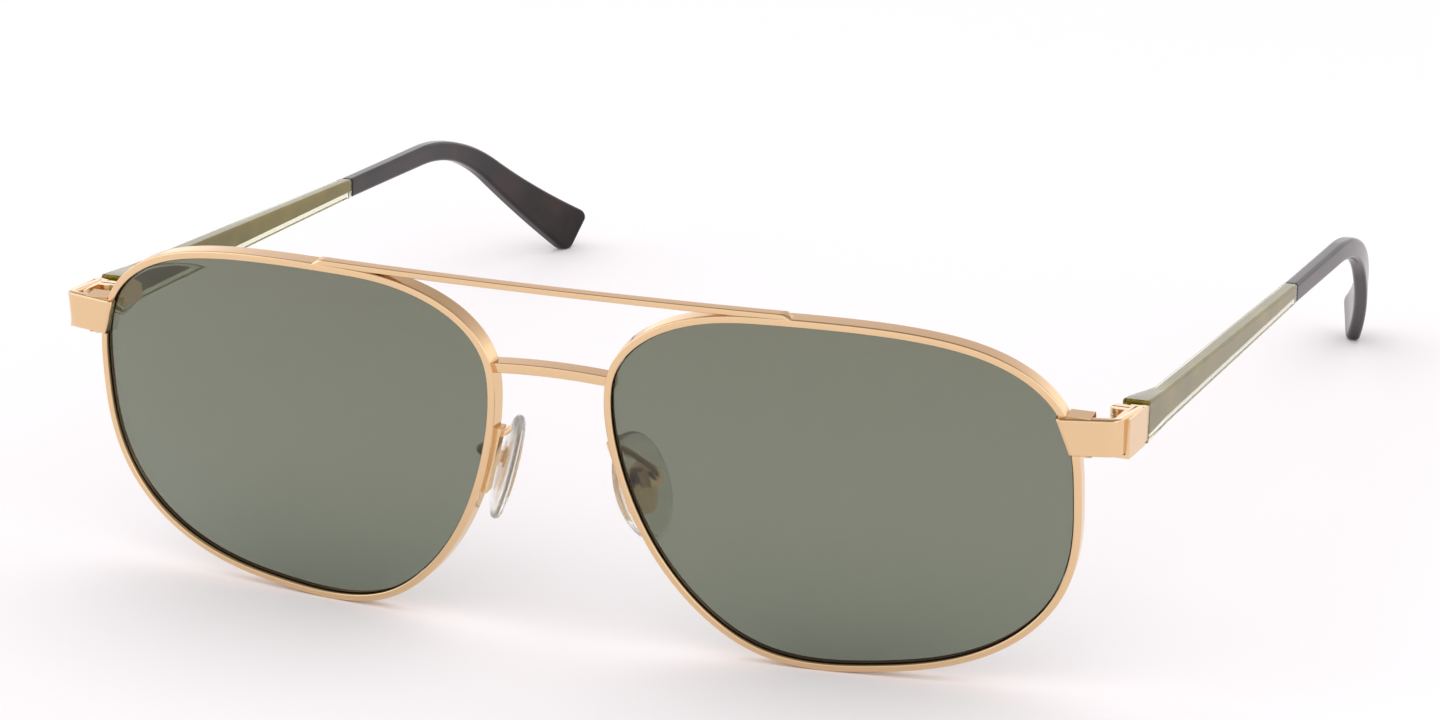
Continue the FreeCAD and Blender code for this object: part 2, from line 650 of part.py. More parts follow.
def tip_side():
    """The tip's side view: widening to a straight end with rounded corners."""
    y, z, turn = spine(TEMPLE_END)
    along = Vector(0, math.cos(turn), -math.sin(turn))
    across = Vector(0, math.sin(turn), math.cos(turn))
    radius = END_CORNER_RADIUS
    upper = [edge_point(s, 1, 0.0) for s in spaced(SEAM_AT, TEMPLE_END - radius, EDGE_POINTS)]
    lower = [edge_point(s, -1, 0.0) for s in spaced(TEMPLE_END - radius, SEAM_AT, EDGE_POINTS)]
    end = Vector(0, y, z)
    corners = []
    for side, start in ((1, upper[-1]), (-1, lower[0])):
        finish = end + across * side * (half_height(TEMPLE_END) - radius)
        centre = finish - along * radius
        middle = centre + (along + across * side).normalize() * radius
        corners.append((start, middle, finish))
    (top, top_middle, top_end), (low, low_middle, low_end) = corners
    edges = [curve_edge(upper), Part.Arc(top, top_middle, top_end).toShape(),
             Part.LineSegment(top_end, low_end).toShape(), Part.Arc(low_end, low_middle, low).toShape(),
             curve_edge(lower), Part.LineSegment(lower[-1], upper[0]).toShape()]
    return pushed_across(edges)


def make_temple(tang):
    """Clear sleeve, coloured core, wire and tip."""
    bar_side = side_slab(TEMPLE_FACE, SEAM_AT, 0.0, 0.0)
    bar_plan = plan_slab(TEMPLE_FACE, SEAM_AT, outer_face, inner_face)
    core_side = side_slab(TEMPLE_FACE, SEAM_AT, SKIN_TOP, SKIN_BOTTOM)
    core_plan = plan_slab(TEMPLE_FACE, SEAM_AT, lambda y: outer_face(y) - SKIN_SIDE,
                          lambda y: inner_face(y) + SKIN_SIDE)
    wire_start = TEMPLE_FACE + TANG_DEPTH
    wire_end = TEMPLE_END - WIRE_SHORT_OF_END
    upper = [Vector(0, *offset_spine(s, WIRE_RAISE + WIRE_HALF_HEIGHT))
             for s in spaced(wire_start, wire_end, EDGE_POINTS)]
    lower = [Vector(0, *offset_spine(s, WIRE_RAISE - WIRE_HALF_HEIGHT))
             for s in spaced(wire_end, wire_start, EDGE_POINTS)]
    half_wire = WIRE_THICKNESS / 2.0
    last = TEMPLE_END
    wire_plan = plan_slab(TEMPLE_FACE, last, lambda y: centre_x(y) + half_wire,
                          lambda y: centre_x(y) - half_wire)
    wire = between_edges(upper, lower).common(wire_plan)
    bar = bar_side.common(bar_plan)
    core_whole = core_side.common(core_plan)
    tip = tip_side().common(plan_slab(SEAM_AT, last, outer_face, inner_face, TIP_POINTS))
    sleeve = to_temple(bar.cut(core_whole))
    core = to_temple(core_whole.cut(wire)).cut(tang)
    return sleeve.cut(tang), core, to_temple(wire), to_temple(tip.cut(wire))


def offset_spine(s, reach):
    """A point beside the temple's middle line: (y, z)."""
    y, z, turn = spine(s)
    return y + reach * math.sin(turn), z + reach * math.cos(turn)


# ---------------------------------------------------------------- nose pad

def pad_axes():
    """The pad's own directions: towards the nose, along its length, across its width."""
    splay = math.radians(PAD_SPLAY)
    tilt = math.radians(PAD_TILT)
    nose = Vector(-math.cos(splay) * math.cos(tilt), math.sin(splay) * math.cos(tilt), -math.sin(tilt))
    up = Vector(0, 0, 1)
    length = (up - nose * up.dot(nose)).normalize()
    return nose, length, nose.cross(length)


NOSE_WAY, PAD_ALONG, PAD_ACROSS = pad_axes()


def to_pad(shape):
    """Moves a shape from the pad's frame (X to the nose, Y across, Z along) to the front's."""
    matrix = FreeCAD.Matrix(NOSE_WAY.x, -PAD_ACROSS.x, PAD_ALONG.x, PAD_CENTRE[0],
                            NOSE_WAY.y, -PAD_ACROSS.y, PAD_ALONG.y, PAD_CENTRE[1],
                            NOSE_WAY.z, -PAD_ACROSS.z, PAD_ALONG.z, PAD_CENTRE[2],
                            0, 0, 0, 1)
    return shape.transformed(matrix)


def pad_point(x, y, z):
    """A point of the pad's frame, in the front's."""
    return Vector(*PAD_CENTRE) + NOSE_WAY * x - PAD_ACROSS * y + PAD_ALONG * z


def oval(length, width, x0, x1):
    """An upright oval disc between two places on X."""
    ellipse = Part.Ellipse(Vector(x0, 0, length / 2.0), Vector(x0, width / 2.0, 0), Vector(x0, 0, 0))
    return Part.Face(Part.Wire(ellipse.toShape())).extrude(Vector(x1 - x0, 0, 0))


BOX_FRONT = -PAD_AXIS_BACK + LUG_RADIUS + BOX_LIP
BOX_REAR = -PAD_AXIS_BACK - LUG_RADIUS - BOX_PLAY


def make_pad():
    """Silicone pad, metal insert with its lug, box, screw and arm."""
    half = PAD_THICKNESS / 2.0
    pad = oval(PAD_LENGTH, PAD_WIDTH, -half, half)
    pad = soften(pad, PAD_EDGE)

    plate_back = -INSERT_THICKNESS
    insert = oval(INSERT_LENGTH, INSERT_WIDTH, plate_back, 0.0)
    half_lug = LUG_THICKNESS / 2.0
    up = PAD_AXIS_UP
    across = Vector(0, 1, 0)
    stem = box(-PAD_AXIS_BACK, -half_lug, up - LUG_RADIUS, plate_back, half_lug, up + LUG_RADIUS)
    eye = Part.makeCylinder(LUG_RADIUS, LUG_THICKNESS, Vector(-PAD_AXIS_BACK, -half_lug, up), across)
    bore_at = Vector(-PAD_AXIS_BACK, -FAR / 2.0, up)
    bore = Part.makeCylinder(PAD_SCREW_RADIUS + PAD_SCREW_PLAY, FAR, bore_at, across)
    insert = insert.fuse(stem).fuse(eye).cut(bore)
    pad = pad.cut(insert)

    inside = half_lug + BOX_PLAY
    outside = inside + BOX_WALL
    low = up - BOX_HEIGHT / 2.0
    high = up + BOX_HEIGHT / 2.0
    case = box(BOX_REAR - BOX_WALL, -outside, low, BOX_FRONT, outside, high)
    case = case.cut(box(BOX_REAR, -inside, -FAR, FAR, inside, FAR))
    case = case.cut(Part.makeCylinder(PAD_SCREW_RADIUS, FAR, bore_at, across))

    shank = Part.makeCylinder(PAD_SCREW_RADIUS, 2 * outside, Vector(-PAD_AXIS_BACK, -outside, up), across)
    head_at = Vector(-PAD_AXIS_BACK, -outside - PAD_HEAD_HEIGHT, up)
    head = Part.makeCylinder(PAD_HEAD_RADIUS, PAD_HEAD_HEIGHT, head_at, across)
    half_slot = PAD_HEAD_RADIUS * SLOT_SHARE / 2.0
    slot = box(-FAR, head_at.y - PAD_HEAD_HEIGHT, up - half_slot, FAR, head_at.y + PAD_HEAD_HEIGHT / 2.0,
               up + half_slot)
    screw = shank.fuse(head).cut(slot)
    return to_pad(pad), to_pad(insert), to_pad(case), to_pad(screw)


def soften(solid, radius):
    """Rounds the two rims of a flat oval disc."""
    rims = [edge for edge in solid.Edges if edge.Length > PAD_LENGTH]
    return solid.makeFillet(radius, rims)


def make_arm(case):
    """Strip soldered to the rim's nose side, with a wire that runs back and down to the box."""
    top_v = PAD_CENTRE[2] + FOOT_UP
    low_v = top_v - FOOT_LENGTH
    depth = RIM_DEPTH - FOOT_DEPTH
    upper = front_point(opening_reach(top_v, -1) - RIM_FACE, top_v, depth)
    lower = front_point(opening_reach(low_v, -1) - RIM_FACE, low_v, depth)
    out = Vector(-FOOT_THICKNESS, 0, 0)
    inward = Vector(RIM_FACE, 0, 0)
    outline = [tuple(upper + out), tuple(upper + inward), tuple(lower + inward), tuple(lower + out)]
    strip = slab(outline, Vector(0, FOOT_DEPTH + FOOT_PROUD, 0))
    strip = largest(strip.cut(RIM_SOLID).cut(OPENING_SOLID))
    leave = upper + out / 2.0 + Vector(0, FOOT_DEPTH / 2.0, -ARM_LEAVES_BELOW)
    turn = leave + Vector(0, ARM_BACK, -ARM_FALL)
    wall = pad_point(BOX_REAR - BOX_WALL / 2.0, 0, PAD_AXIS_UP)
    behind = wall - NOSE_WAY * ARM_BEHIND_BOX + PAD_ALONG * ARM_ABOVE_BOX
    wire = rod([leave, turn, behind, wall], [ARM_BEND, ARM_BEND], ARM_RADIUS)
    return strip.fuse(wire).cut(case).cut(RIM_SOLID)


# ---------------------------------------------------------------- assembly

def left_side():
    """Every piece of the wearer's left side, by name."""
    end_piece = make_end_piece()
    upper, lower, lock_screw = make_locks(end_piece)
    front_leaf, temple_leaf, hinge_screw = make_hinge(end_piece)
    sleeve, core, wire, tip = make_temple(temple_leaf)
    pad, insert, case, pad_screw = make_pad()
    return {"rim": make_rim(), "lens": make_lens(), "end_piece": end_piece,
            "rim_lock_upper": upper, "rim_lock_lower": lower, "rim_lock_screw": lock_screw,
            "hinge_front_leaf": front_leaf, "hinge_temple_leaf": temple_leaf, "hinge_screw": hinge_screw,
            "temple_sleeve": sleeve, "temple_core": core, "core_wire": wire, "temple_tip": tip,
            "nose_pad": pad, "pad_insert": insert, "pad_box": case, "pad_screw": pad_screw,
            "pad_arm": make_arm(case)}


def lowest(shape, tilt):
    """The lowest height and the middle on Y, after tilting by some degrees."""
    turned = shape.copy()
    turned.rotate(Vector(0, 0, 0), Vector(1, 0, 0), tilt)
    bounds = turned.optimalBoundingBox(False)
    return bounds.ZMin, bounds.Center.y


def rest_tilt(rim, tip):
    """Degrees the glasses tip forward to stand on the rims and the tips alike."""
    tilt = 0.0
    for _ in range(REST_PASSES):
        rim_low, rim_y = lowest(rim, tilt)
        tip_low, tip_y = lowest(tip, tilt)
        tilt += math.degrees(math.atan2(rim_low - tip_low, tip_y - rim_y))
    return tilt


def main():
    os.makedirs("parts", exist_ok=True)
    left = left_side()
    pieces = {"brow_bar": make_brow_bar(), "bridge": make_bridge()}
    for name, shape in left.items():
        for suffix, side in zip(("_left", "_right"), both_sides(shape)):
            pieces[name + suffix] = side
    tilt = rest_tilt(left["rim"], left["temple_tip"])
    for shape in pieces.values():
        shape.rotate(Vector(0, 0, 0), Vector(1, 0, 0), tilt)
    whole = Part.makeCompound(list(pieces.values())).optimalBoundingBox(False)
    shift = Vector(0, -(whole.YMin + whole.YMax) / 2.0, -whole.ZMin)
    for name, shape in pieces.items():
        shape.translate(shift)
        if not shape.isValid() or not shape.Solids:
            raise ValueError(name + " is not a valid solid")
        shape.exportStep("parts/" + name + ".step")
        print(name, len(shape.Solids), round(shape.Volume, 2))
    hinge = Vector(HINGE.x, HINGE.y, HINGE.z)
    axis = Vector(0, math.sin(math.radians(PITCH)), math.cos(math.radians(PITCH)))
    turn = FreeCAD.Rotation(Vector(1, 0, 0), tilt)
    print("size", [round(v, 2) for v in (whole.XLength, whole.YLength, whole.ZLength)])
    print("tilt", round(tilt, 3), "shift", tuple(round(v, 3) for v in shift))
    print("hinge", tuple(round(v, 3) for v in turn.multVec(hinge) + shift),
          "axis", tuple(round(v, 5) for v in turn.multVec(axis)))
    pad_axis = turn.multVec(pad_point(-PAD_AXIS_BACK, 0, PAD_AXIS_UP)) + shift
    print("pad axis", tuple(round(v, 3) for v in pad_axis),
          tuple(round(v, 5) for v in turn.multVec(PAD_ACROSS)))
    brow = turn.multVec(Vector(0, BROW_BACK - BROW_BOW + BROW_DEPTH / 2.0, RIM_TOP + BROW_RISE)) + shift
    print("brow top", tuple(round(v, 3) for v in brow),
          tuple(round(v, 5) for v in turn.multVec(Vector(0, 0, 1))))


main()
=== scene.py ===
"""Metal-framed sunglasses with acetate temples: the visible model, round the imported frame.

Shapes are worked out in millimetres in the front's own frame: X towards the wearer's left,
Y from the lenses to the ears, Z up the lens plane. rest() then lays them on the floor as the
frame lies. Only the left side is worked out, and the right side is its mirror image.
"""

import json
import math

import bpy
import numpy as np
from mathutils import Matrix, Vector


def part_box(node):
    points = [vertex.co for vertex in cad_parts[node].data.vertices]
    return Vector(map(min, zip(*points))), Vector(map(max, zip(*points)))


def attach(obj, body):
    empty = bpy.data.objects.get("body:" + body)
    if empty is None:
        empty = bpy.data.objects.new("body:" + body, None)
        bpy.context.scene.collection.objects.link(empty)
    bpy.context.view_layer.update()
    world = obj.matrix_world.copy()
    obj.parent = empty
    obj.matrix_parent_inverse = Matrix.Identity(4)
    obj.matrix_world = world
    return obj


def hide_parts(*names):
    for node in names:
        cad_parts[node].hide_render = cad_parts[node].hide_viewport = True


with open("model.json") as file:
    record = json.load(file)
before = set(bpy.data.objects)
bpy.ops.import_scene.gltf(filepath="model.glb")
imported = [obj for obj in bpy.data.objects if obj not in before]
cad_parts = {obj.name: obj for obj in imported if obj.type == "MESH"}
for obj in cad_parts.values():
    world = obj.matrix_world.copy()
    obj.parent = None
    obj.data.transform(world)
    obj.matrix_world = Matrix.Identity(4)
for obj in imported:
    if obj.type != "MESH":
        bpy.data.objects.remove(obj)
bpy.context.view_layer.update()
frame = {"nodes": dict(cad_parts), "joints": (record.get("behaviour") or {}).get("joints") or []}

bl_info = {
    "name": "Metal sunglasses",
    "version": (1, 0, 0),
    "blender": (4, 5, 0),
    "location": "View3D > Sidebar > Sunglasses",
    "description": "Builds the visible pieces of metal-framed sunglasses",
    "category": "Object",
}

# ------------------------------------------------------------------ sizes shared by several pieces, mm

LENS_WIDTH = 56.4
LENS_HEIGHT = 44.5
LENS_CURVE = 159.0
WRAP = math.radians(6.6)
VERTEX = (0.5, 1.0)
BRIDGE_GAP = 16.4
END_UP = 9.3
PITCH = math.radians(10.0)
HINGE = np.array([67.704, 13.233, 7.7])
FOLD = next(joint for joint in frame["joints"] if joint["name"] == "temple_left_fold")
TILT = PITCH - math.atan2(FOLD["axis"][1], FOLD["axis"][2])
SIDES = (("_left", 1.0), ("_right", -1.0))


def turned(points, angle):
    """Points turned about X: y' = y cos - z sin, z' = y sin + z cos."""
    x, y, z = np.moveaxis(points, -1, 0)
    cos, sin = math.cos(angle), math.sin(angle)
    return np.stack([x, y * cos - z * sin, y * sin + z * cos], -1)


def rest(points):
    """Front frame in mm to the row frame in m: turned by the tilt about the hinge, then set on it."""
    return turned(points - HINGE, TILT) / 1000.0 + np.array(FOLD["pos_m"])


def rest_temple(points):
    """The hinge's own frame in mm, with the temple along Y, to the row frame in m."""
    return turned(points, TILT - PITCH) / 1000.0 + np.array(FOLD["pos_m"])


# ------------------------------------------------------------------ curves and sections

def closed_spline(points):
    """A smooth closed curve through points, as a function of its share from 0 to 1.

    Piecewise cubic in the chord length t. The second derivatives m solve, at each point,
    h0 m0 + 2 (h0 + h1) m1 + h1 m2 = 6 ((p2 - p1) / h1 - (p1 - p0) / h0), taken round the ring.
    """
    count = len(points)
    after = np.roll(points, -1, 0)
    step = np.linalg.norm(after - points, axis=1)
    before = np.roll(step, 1)
    eye = np.eye(count)
    matrix = eye * (2 * (step + before))[:, None]
    matrix += np.roll(eye, 1, 1) * step[:, None] + np.roll(eye, -1, 1) * before[:, None]
    slope = (after - points) / step[:, None]
    bend = np.linalg.solve(matrix, 6 * (slope - np.roll(slope, 1, 0)))
    start = np.concatenate([[0.0], np.cumsum(step)])

    def curve(share):
        """(point, direction) at each share."""
        t = np.mod(share, 1.0) * start[-1]
        i = np.clip(np.searchsorted(start, t, "right") - 1, 0, count - 1)
        h = step[i][:, None]
        b = (t - start[i])[:, None] / h
        a = 1 - b
        p0, p1, m0, m1 = points[i], after[i], bend[i], np.roll(bend, -1, 0)[i]
        point = a * p0 + b * p1 + ((a ** 3 - a) * m0 + (b ** 3 - b) * m1) * h ** 2 / 6
        way = (p1 - p0) / h + ((1 - 3 * a ** 2) * m0 + (3 * b ** 2 - 1) * m1) * h / 6
        return point, way / np.linalg.norm(way, axis=1)[:, None]

    return curve


def corner(middle, reach, square, start):
    """A quarter turn of |x / a|^n + |y / b|^n = 1 about a middle, its last point left out."""
    steps = 6
    angle = math.radians(start) + np.linspace(0.0, math.pi / 2, steps, endpoint=False)
    way = np.stack([np.cos(angle), np.sin(angle)], -1)
    size = (np.abs(way) ** square).sum(1, keepdims=True) ** (-1.0 / square)
    return np.array(middle) + np.array(reach) * size * way


def outline_shares():
    """The lens opening from its innermost point down and round, in shares of half its width and height.

    Outermost point at height 0.1, innermost at 0.45, highest at -0.3 across, lowest at -0.2.
    """
    outer, inner, top, bottom = 0.1, 0.45, -0.3, -0.2
    # how square each corner is: 2 is an ellipse
    low_inner, low_outer, high_outer, high_inner = 1.85, 2.7, 3.0, 2.2
    return np.concatenate([corner((bottom, inner), (1 + bottom, 1 + inner), low_inner, 180),
                           corner((bottom, outer), (1 - bottom, 1 + outer), low_outer, 270),
                           corner((top, outer), (1 - top, 1 - outer), high_outer, 0),
                           corner((top, inner), (1 + top, 1 - inner), high_inner, 90)])


OPENING = closed_spline(outline_shares() * (LENS_WIDTH / 2, LENS_HEIGHT / 2) - VERTEX)


def opening(share, out=0.0):
    """Points of the lens opening in its own plane, moved outwards square to the curve."""
    point, way = OPENING(share)
    return point + np.stack([way[:, 1], -way[:, 0]], -1) * out


def sag(u, v):
    """How far a ball's front lies behind its vertex: R - sqrt(R^2 - u^2 - v^2)."""
    return LENS_CURVE - np.sqrt(LENS_CURVE ** 2 - u ** 2 - v ** 2)


NASAL = -LENS_WIDTH / 2 - VERTEX[0]
LENS_X = BRIDGE_GAP / 2 - NASAL * math.cos(WRAP) + sag(NASAL, 0.0) * math.sin(WRAP)


def front_point(u, v, depth):
    """A place on the lens ball, some depth behind the rim's front, in the front frame."""
    back = sag(u, v) + depth
    return np.stack(np.broadcast_arrays(LENS_X + u * math.cos(WRAP) - back * math.sin(WRAP),
                                        u * math.sin(WRAP) + back * math.cos(WRAP), v), -1)


FINE = np.linspace(0.0, 1.0, 2001)
RIM_TOP = opening(FINE)[:, 1].max()


def temple_edge(v):
    """How far out the opening's temple side reaches at each height."""
    points = opening(FINE)
    points = points[points[:, 0] > LENS_WIDTH * 0.2]
    order = np.argsort(points[:, 1])
    return np.interp(v, points[order, 1], points[order, 0])


def rounded_section(steps):
    """(corner signs, corner directions) of a rectangle with rounded corners, once round."""
    angle = (np.arange(4)[:, None] * 90.0 + np.linspace(0, 90, steps + 1)[None, :]).ravel()
    signs = np.repeat(np.array([(1, 1), (-1, 1), (-1, -1), (1, -1)], float), steps + 1, 0)
    return signs, np.stack([np.cos(np.radians(angle)), np.sin(np.radians(angle))], -1)


def section(half_wide, half_high, radius, steps=5):
    """Rounded rectangles, one a row: corner sign * (half size - radius) + radius * direction."""
    signs, ways = rounded_section(steps)
    half = np.stack(np.broadcast_arrays(half_wide, half_high), -1)[..., None, :]
    round_off = np.broadcast_to(radius, half.shape[:-2])[..., None, None]
    return signs * (half - round_off) + ways * round_off


def ease(share):
    """Runs smoothly from 0 to 1: s^2 (3 - 2 s)."""
    share = np.clip(share, 0.0, 1.0)
    return share * share * (3.0 - 2.0 * share)


# ------------------------------------------------------------------ meshes

def skin(name, grid, ring=False):
    """A closed skin over a grid of points in m, each row a closed loop.

    Each row joins the next. With ring the last row joins the first, and otherwise a fan
    closes each end. Faces are turned outwards by the sign of the volume, the sum over
    triangles of a . (b x c) / 6.
    """
    rows, columns, _ = grid.shape
    points = grid.reshape(-1, 3)
    index = np.arange(rows * columns).reshape(rows, columns)
    here = index if ring else index[:-1]
    there = np.roll(index, -1, 0) if ring else index[1:]
    quads = np.stack([here, np.roll(here, -1, 1), np.roll(there, -1, 1), there], -1).reshape(-1, 4)
    fans = np.zeros((0, 3), int)
    if not ring:
        points = np.concatenate([points, grid[:1].mean(1), grid[-1:].mean(1)])
        first, last = index[0], index[-1]
        middle = np.full(columns, rows * columns)
        fans = np.concatenate([np.stack([middle, np.roll(first, -1), first], -1),
                               np.stack([middle + 1, last, np.roll(last, -1)], -1)])
    split = np.concatenate([quads[:, (0, 1, 2)], quads[:, (0, 2, 3)], fans])
    a, b, c = (points[split[:, i]] - points.mean(0) for i in range(3))
    if np.einsum("ij,ij->", a, np.cross(b, c)) < 0:
        quads = quads[:, ::-1]
        fans = fans[:, ::-1]
    mesh = bpy.data.meshes.new(name)
    mesh.from_pydata(points.tolist(), [], quads.tolist() + fans.tolist())
    mesh.shade_smooth()
    mesh.update()
    piece = bpy.data.objects.new(name, mesh)
    bpy.context.scene.collection.objects.link(piece)
    return piece


def even_shading(piece):
    """Broad flat faces keep their own shading beside rounded edges."""
    weighted = piece.modifiers.new("even shading", "WEIGHTED_NORMAL")
    weighted.mode = "FACE_AREA"
    weighted.weight = 80


def fit_piece(piece, finish, body, slot, *nodes):
    """Gives a piece its finish, the body it moves with and the frame's nodes it stands for."""
    if not piece.data.vertices:
        raise RuntimeError(piece.name + " has no surface")
    piece.data.materials.clear()
    piece.data.materials.append(finish)
    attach(piece, body)
    if nodes:
        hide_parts(*nodes)


def paired(name, grid, place, finish, body, slot, node, ring=False):
    """A left piece and its mirror image, each riding on its body and replacing its node."""
    for suffix, side in SIDES:
        points = place(grid) * np.array([side, 1.0, 1.0])
        piece = skin(name + suffix, points, ring)
        even_shading(piece)
        fit_piece(piece, finish, body if body == "front" else body + suffix, slot, node + suffix)


# ------------------------------------------------------------------ finishes

def linear(code):
    """An sRGB hex colour as linear RGBA: ((c + 0.055) / 1.055)^2.4, or c / 12.92 when dark."""
    parts = np.array([int(code[i:i + 2], 16) for i in (0, 2, 4)]) / 255.0
    low = parts / 12.92
    high = ((parts + 0.055) / 1.055) ** 2.4
    return (*np.where(parts <= 0.04045, low, high).tolist(), 1.0)


def add_node(tree, kind, inputs=None, **settings):
    """One node with its settings; an input that is another node's output is linked."""
    new = tree.nodes.new(kind)
    for key, value in settings.items():
        setattr(new, key, value)
    for key, value in (inputs or {}).items():
        if isinstance(value, bpy.types.NodeSocket):
            tree.links.new(value, new.inputs[key])
        else:
            new.inputs[key].default_value = value
    return new


def new_finish(name):
    """An empty node material and its tree."""
    finish = bpy.data.materials.new(name)
    finish.use_nodes = True
    finish.node_tree.nodes.clear()
    return finish, finish.node_tree


def polished_gold_plate(colour):
    """Nickel alloy frame metal, polished and gold plated: a pale warm mirror with faint polishing haze."""
    finish, tree = new_finish("polished_gold_plate")
    place = add_node(tree, "ShaderNodeTexCoord").outputs["Object"]
    # polishing haze about 2 mm across, and buffing marks of 0.25 mm
    haze = add_node(tree, "ShaderNodeTexNoise", {"Vector": place, "Scale": 500.0, "Detail": 3.0})
    marks = add_node(tree, "ShaderNodeTexNoise", {"Vector": place, "Scale": 4000.0, "Detail": 2.0})
    rough = add_node(tree, "ShaderNodeMapRange", {"Value": haze.outputs["Fac"], "From Min": 0.3,
                                                  "From Max": 0.7, "To Min": 0.13, "To Max": 0.2})
    bump = add_node(tree, "ShaderNodeBump", {"Height": marks.outputs["Fac"], "Strength": 0.05,
                                             "Distance": 0.00002})
    shader = add_node(tree, "ShaderNodeBsdfPrincipled", {
        "Base Color": colour, "Metallic": 1.0, "Roughness": rough.outputs["Result"],
        "Normal": bump.outputs["Normal"]})
    add_node(tree, "ShaderNodeOutputMaterial", {"Surface": shader.outputs["BSDF"]})
    return finish


def tinted_lens(upper, lower, low, high):
    """Cast tinted lens, polished: grey-green and see-through, a little lighter towards the bottom."""
    finish, tree = new_finish("tinted_lens")
    place = add_node(tree, "ShaderNodeTexCoord").outputs["Object"]
    height = add_node(tree, "ShaderNodeSeparateXYZ", {"Vector": place}).outputs["Z"]
    share = add_node(tree, "ShaderNodeMapRange", {"Value": height, "From Min": low, "From Max": high})
    tint = add_node(tree, "ShaderNodeMix", {"Factor": share.outputs["Result"]}, data_type="RGBA")
    # Mix has one A and B for each data type, so the colour ones are set by their place
    tint.inputs[6].default_value = lower
    tint.inputs[7].default_value = upper
    shader = add_node(tree, "ShaderNodeBsdfPrincipled", {
        "Base Color": tint.outputs[2], "Roughness": 0.02, "IOR": 1.5, "Transmission Weight": 1.0})
    add_node(tree, "ShaderNodeOutputMaterial", {"Surface": shader.outputs["BSDF"]})
    return finish


def ground_lens_edge(colour):
    """The lens's edge, ground on a wheel, with painted shade: dark grey for the shadow inside the rim's
    channel behind the lens. Matte, with marks of about 0.2 mm.
    """
    finish, tree = new_finish("ground_lens_edge")
    place = add_node(tree, "ShaderNodeTexCoord").outputs["Object"]
    marks = add_node(tree, "ShaderNodeTexNoise", {"Vector": place, "Scale": 5000.0})
    bump = add_node(tree, "ShaderNodeBump", {"Height": marks.outputs["Fac"], "Strength": 0.2,
                                             "Distance": 0.00002})
    shader = add_node(tree, "ShaderNodeBsdfPrincipled", {
        "Base Color": colour, "Roughness": 0.5, "Normal": bump.outputs["Normal"]})
    add_node(tree, "ShaderNodeOutputMaterial", {"Surface": shader.outputs["BSDF"]})
    return finish


def clear_acetate(colour):
    """Cellulose acetate sheet, cut and tumble polished: water-clear with a soft gloss."""
    finish, tree = new_finish("clear_acetate")
    place = add_node(tree, "ShaderNodeTexCoord").outputs["Object"]
    # tumbling leaves a slow waviness about 3 mm across
    wave = add_node(tree, "ShaderNodeTexNoise", {"Vector": place, "Scale": 330.0, "Detail": 1.0})
    bump = add_node(tree, "ShaderNodeBump", {"Height": wave.outputs["Fac"], "Strength": 0.1,
                                             "Distance": 0.00005})
    shader = add_node(tree, "ShaderNodeBsdfPrincipled", {
        "Base Color": colour, "Roughness": 0.04, "IOR": 1.48, "Transmission Weight": 1.0,
        "Normal": bump.outputs["Normal"]})
    add_node(tree, "ShaderNodeOutputMaterial", {"Surface": shader.outputs["BSDF"]})
    return finish


def cloudy_acetate(name, first, second, cloud, rough, scatter, gloss):
    """Coloured cellulose acetate: clouds of two shades some millimetres across.

    Gloss is its specular level, 0 where it is bonded inside clear acetate and meets no air.
    """
    finish, tree = new_finish(name)
    place = add_node(tree, "ShaderNodeTexCoord").outputs["Object"]
    clouds = add_node(tree, "ShaderNodeTexNoise", {"Vector": place, "Scale": 1000.0 / cloud, "Detail": 3.0,
                                                   "Distortion": 0.6})
    ramp = add_node(tree, "ShaderNodeValToRGB", {"Fac": clouds.outputs["Fac"]})
    ramp.color_ramp.elements[0].position = 0.35
    ramp.color_ramp.elements[0].color = first
    ramp.color_ramp.elements[1].position = 0.7
    ramp.color_ramp.elements[1].color = second
    shader = add_node(tree, "ShaderNodeBsdfPrincipled", {
        "Base Color": ramp.outputs["Color"], "Roughness": rough, "IOR": 1.48, "Specular IOR Level": gloss,
        "Subsurface Weight": scatter,
        "Subsurface Radius": (1.0, 0.8, 0.4), "Subsurface Scale": 0.001})
    add_node(tree, "ShaderNodeOutputMaterial", {"Surface": shader.outputs["BSDF"]})
    return finish


def clear_silicone(colour):
    """Moulded silicone rubber: clear, soft-looking, with a satin skin."""
    finish, tree = new_finish("clear_silicone")
    place = add_node(tree, "ShaderNodeTexCoord").outputs["Object"]
    # the mould's satin grain, drawn at 0.3 mm so that it shows
    grain = add_node(tree, "ShaderNodeTexNoise", {"Vector": place, "Scale": 3300.0, "Detail": 2.0})
    bump = add_node(tree, "ShaderNodeBump", {"Height": grain.outputs["Fac"], "Strength": 0.2,
                                             "Distance": 0.00002})
    shader = add_node(tree, "ShaderNodeBsdfPrincipled", {
        "Base Color": colour, "Roughness": 0.16, "IOR": 1.41, "Transmission Weight": 0.92,
        "Normal": bump.outputs["Normal"]})
    add_node(tree, "ShaderNodeOutputMaterial", {"Surface": shader.outputs["BSDF"]})
    return finish


def drawn_nickel_silver(colour):
    """Nickel silver wire, drawn: grey metal with fine lines along the temple."""
    finish, tree = new_finish("drawn_nickel_silver")
    place = add_node(tree, "ShaderNodeTexCoord").outputs["Object"]
    # draw marks 0.1 mm apart, twenty times as long along Y
    along = add_node(tree, "ShaderNodeMapping", {"Vector": place, "Scale": (1.0, 0.05, 1.0)})
    lines = add_node(tree, "ShaderNodeTexNoise", {"Vector": along.outputs["Vector"], "Scale": 10000.0})
    bump = add_node(tree, "ShaderNodeBump", {"Height": lines.outputs["Fac"], "Strength": 0.2,
                                             "Distance": 0.00002})
    shader = add_node(tree, "ShaderNodeBsdfPrincipled", {
        "Base Color": colour, "Metallic": 1.0, "Roughness": 0.3, "Normal": bump.outputs["Normal"]})
    add_node(tree, "ShaderNodeOutputMaterial", {"Surface": shader.outputs["BSDF"]})
    return finish


